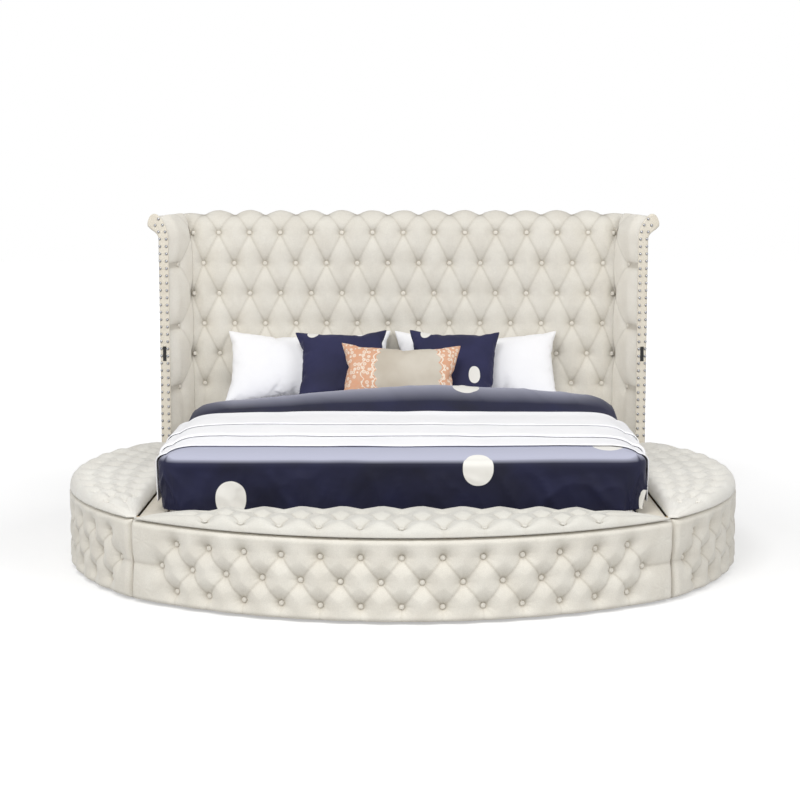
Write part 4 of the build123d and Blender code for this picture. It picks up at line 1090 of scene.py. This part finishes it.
def lumbar_print():
    """A generic border print: coral ends with scalloped edges and pale flowers, cream middle."""
    s, base = cotton("cushion_coral", (210, 203, 190), (188, 178, 162))
    uv, x, y = s.cloth()
    side = s.math("ABSOLUTE", s.math("SUBTRACT", x, 0.040))
    waves = s.math("ABSOLUTE", s.math("SINE", s.math("MULTIPLY", y, 62.0)))
    curve = s.math("MULTIPLY", s.math("MULTIPLY", y, y), -1.4)
    border = s.math("SUBTRACT", side, s.math("ADD", s.math("MULTIPLY", waves, 0.016), curve))
    coral = s.ramp(border, 0.153, 0.157)

    def line(source, level, inner, outer, strength=1.0):
        away = s.math("ABSOLUTE", s.math("SUBTRACT", source, level))
        return s.ramp(away, inner, outer, strength, 0.0)

    flowers = s.node("TexVoronoi", feature="F1", Scale=42.0, Randomness=0.55,
                     Vector=uv).outputs["Distance"]
    petals = s.math("MAXIMUM", line(flowers, 0.31, 0.07, 0.12, 0.8),
                    s.ramp(flowers, 0.11, 0.16, 0.85, 0.0))
    lines = s.math("MAXIMUM", line(border, 0.167, 0.002, 0.004),
                   line(border, 0.222, 0.0012, 0.003))
    pale = s.math("MAXIMUM", s.math("MULTIPLY", petals, coral), lines)
    fade = s.ramp(s.noise(40.0, 4.0, 0.7), 0.35, 0.6, 0.75, 1.0)
    ends = s.mix(s.math("MULTIPLY", coral, fade), base, srgb(216, 160, 126))
    s.shade(Base_Color=s.mix(pale, ends, srgb(238, 228, 212)))
    return s.mat


def make_pillows():
    spots = {"left": [(-0.150, 0.218), (0.19, -0.12)], "right": [(-0.152, 0.205), (0.106, -0.080)]}
    for k, side in enumerate(("left", "right")):
        pillow = puffed(side + "_white_pillow", (0.86, 0.48, 0.17), 60 + k, SHEET)
        lean_in_place(pillow, side + "_pillow", lift=-0.024, shift=-0.024)
        finish_piece(pillow, side + "_pillow")
        navy = spotted("cushion_navy_" + side, spots[side], (0.029, 0.050), CUSHION_COLORS)
        cushion = puffed(side + "_navy_cushion", (0.475, 0.475, 0.13), 70 + k, navy)
        lean_in_place(cushion, side + "_cushion", tilt=0.02 - 0.06 * k)
        finish_piece(cushion, side + "_cushion")
    lumbar = puffed("lumbar_cushion_cover", (0.60, 0.35, 0.12), 80, lumbar_print())
    lean_in_place(lumbar, "lumbar_cushion", tilt=-0.03, lean_deg=32, lift=0.035)
    finish_piece(lumbar, "lumbar_cushion")


make_pillows()


# Camera, light and floor

def camera():
    data = bpy.data.cameras.new("camera")
    data.lens = 81.0
    data.sensor_width = 36.0
    obj = link("camera", data)
    obj.location = (0.022, -8.165, 1.716)
    obj.rotation_euler = (math.radians(90 - 6.94), 0, math.radians(0.24))
    bpy.context.scene.camera = obj


LIGHT_SIZE = 2.6


def area(name, place, target, power):
    data = bpy.data.lights.new(name, "AREA")
    data.shape = "SQUARE"
    data.size = LIGHT_SIZE
    data.energy = power
    obj = link(name, data)
    obj.location = place
    aim = Vector(target) - Vector(place)
    obj.rotation_euler = aim.to_track_quat("-Z", "Y").to_euler()


def world():
    w = bpy.data.worlds.new("studio")
    bpy.context.scene.world = w
    w.use_nodes = True
    g = Graph(w.node_tree)
    lit = g.tree.nodes["Background"]
    lit.inputs[0].default_value, lit.inputs[1].default_value = WHITE, 0.44
    clear = g.node("Background", Color=WHITE, Strength=1.0)
    mix = g.node("MixShader", g.seen(), lit.outputs[0], clear.outputs[0])
    g.feed(g.tree.nodes["World Output"].inputs["Surface"], mix.outputs[0])


FLOOR_HALF = 30


def floor():
    """A pale floor that fades into the white backdrop where the camera looks."""
    s = Surface("floor_pale", 0.9)
    away = s.node("VectorMath", s.place(), operation="LENGTH").outputs["Value"]
    glow = s.math("MULTIPLY", s.seen(), s.ramp(away, 2.0, 6.0, 0.45, 0.90))
    s.shade(Base_Color=(0.60, 0.60, 0.60, 1), Emission_Color=WHITE, Emission_Strength=glow)
    h = FLOOR_HALF
    add_object("floor", [(-h, -h, 0), (h, -h, 0), (h, h, 0), (-h, h, 0)],
                        [(0, 1, 2, 3)], s.mat)


camera()
world()
floor()
area("key", (-1.4, -4.9, 6.2), (0, 0.3, 0.6), 222)
area("fill", (3.6, -4.2, 3.6), (-0.8, 1.0, 0.9), 108)
area("fill_left", (-3.8, -4.2, 3.2), (0.8, 1.0, 0.9), 66)
bpy.context.scene.view_settings.view_transform = "Standard"


# Finishes of the CAD nodes that are shown as they are

def plain(name, color, low, roughness, scale, stretch=None, height=0.0004, **look):
    """A finish with a fine grain: two close colours, a little roughness and relief."""
    s = Surface(name, roughness, **look)
    grain = s.noise(scale, 4.0, 0.6, stretch)
    s.shade(Base_Color=s.mix(s.ramp(grain, 0.35, 0.65), srgb(*low), srgb(*color)))
    s.bump(grain, 0.2, height)
    return s.mat


FINISH = {
    "velvet": VELVET,
    "velvet_band": VELVET_BAND,
    "plywood": plain("plywood", (222, 198, 160), (204, 176, 136), 0.6, 9.0, (1, 1, 9)),
    "slat_wood": plain("slat_wood", (226, 206, 170), (206, 180, 140), 0.55, 8.0, (1, 8, 8)),
    "back_cloth": plain("back_cloth", (220, 214, 202), (208, 201, 188), 0.85, 420.0, sheen=0.2),
    "hinge_steel": plain("hinge_steel", (178, 178, 182), (160, 160, 165), 0.38, 300.0,
                         height=0.0001, metallic=1.0),
    "port_black": plain("port_black", (14, 14, 15), (10, 10, 11), 0.6, 600.0, height=0.0001),
    "glide_black": plain("glide_black", (34, 34, 35), (26, 26, 27), 0.55, 500.0, height=0.0001),
}
SLOT_WORDS = {
    "back_cloth": ("headboard_back_cover", "headboard_board", "wing_board", "bench_end_boards"),
    "velvet_band": ("_ledge",),
    "hinge_steel": ("leaves", "hinge_pins"),
    "port_black": ("power_ports",),
    "glide_black": ("glides",),
    "slat_wood": ("slat", "centre_rail", "centre_legs", "side_rails"),
    "plywood": ("board", "back", "floor"),
}


def slot_of(name):
    """The slot of a CAD node that is shown as it is: the first that its name fits."""
    for slot, words in SLOT_WORDS.items():
        if any(word in name for word in words):
            return slot
    return "velvet"


for name, item in frame["nodes"].items():
    if not item.hide_render:
        item.data.materials.clear()
        item.data.materials.append(FINISH[slot_of(name)])
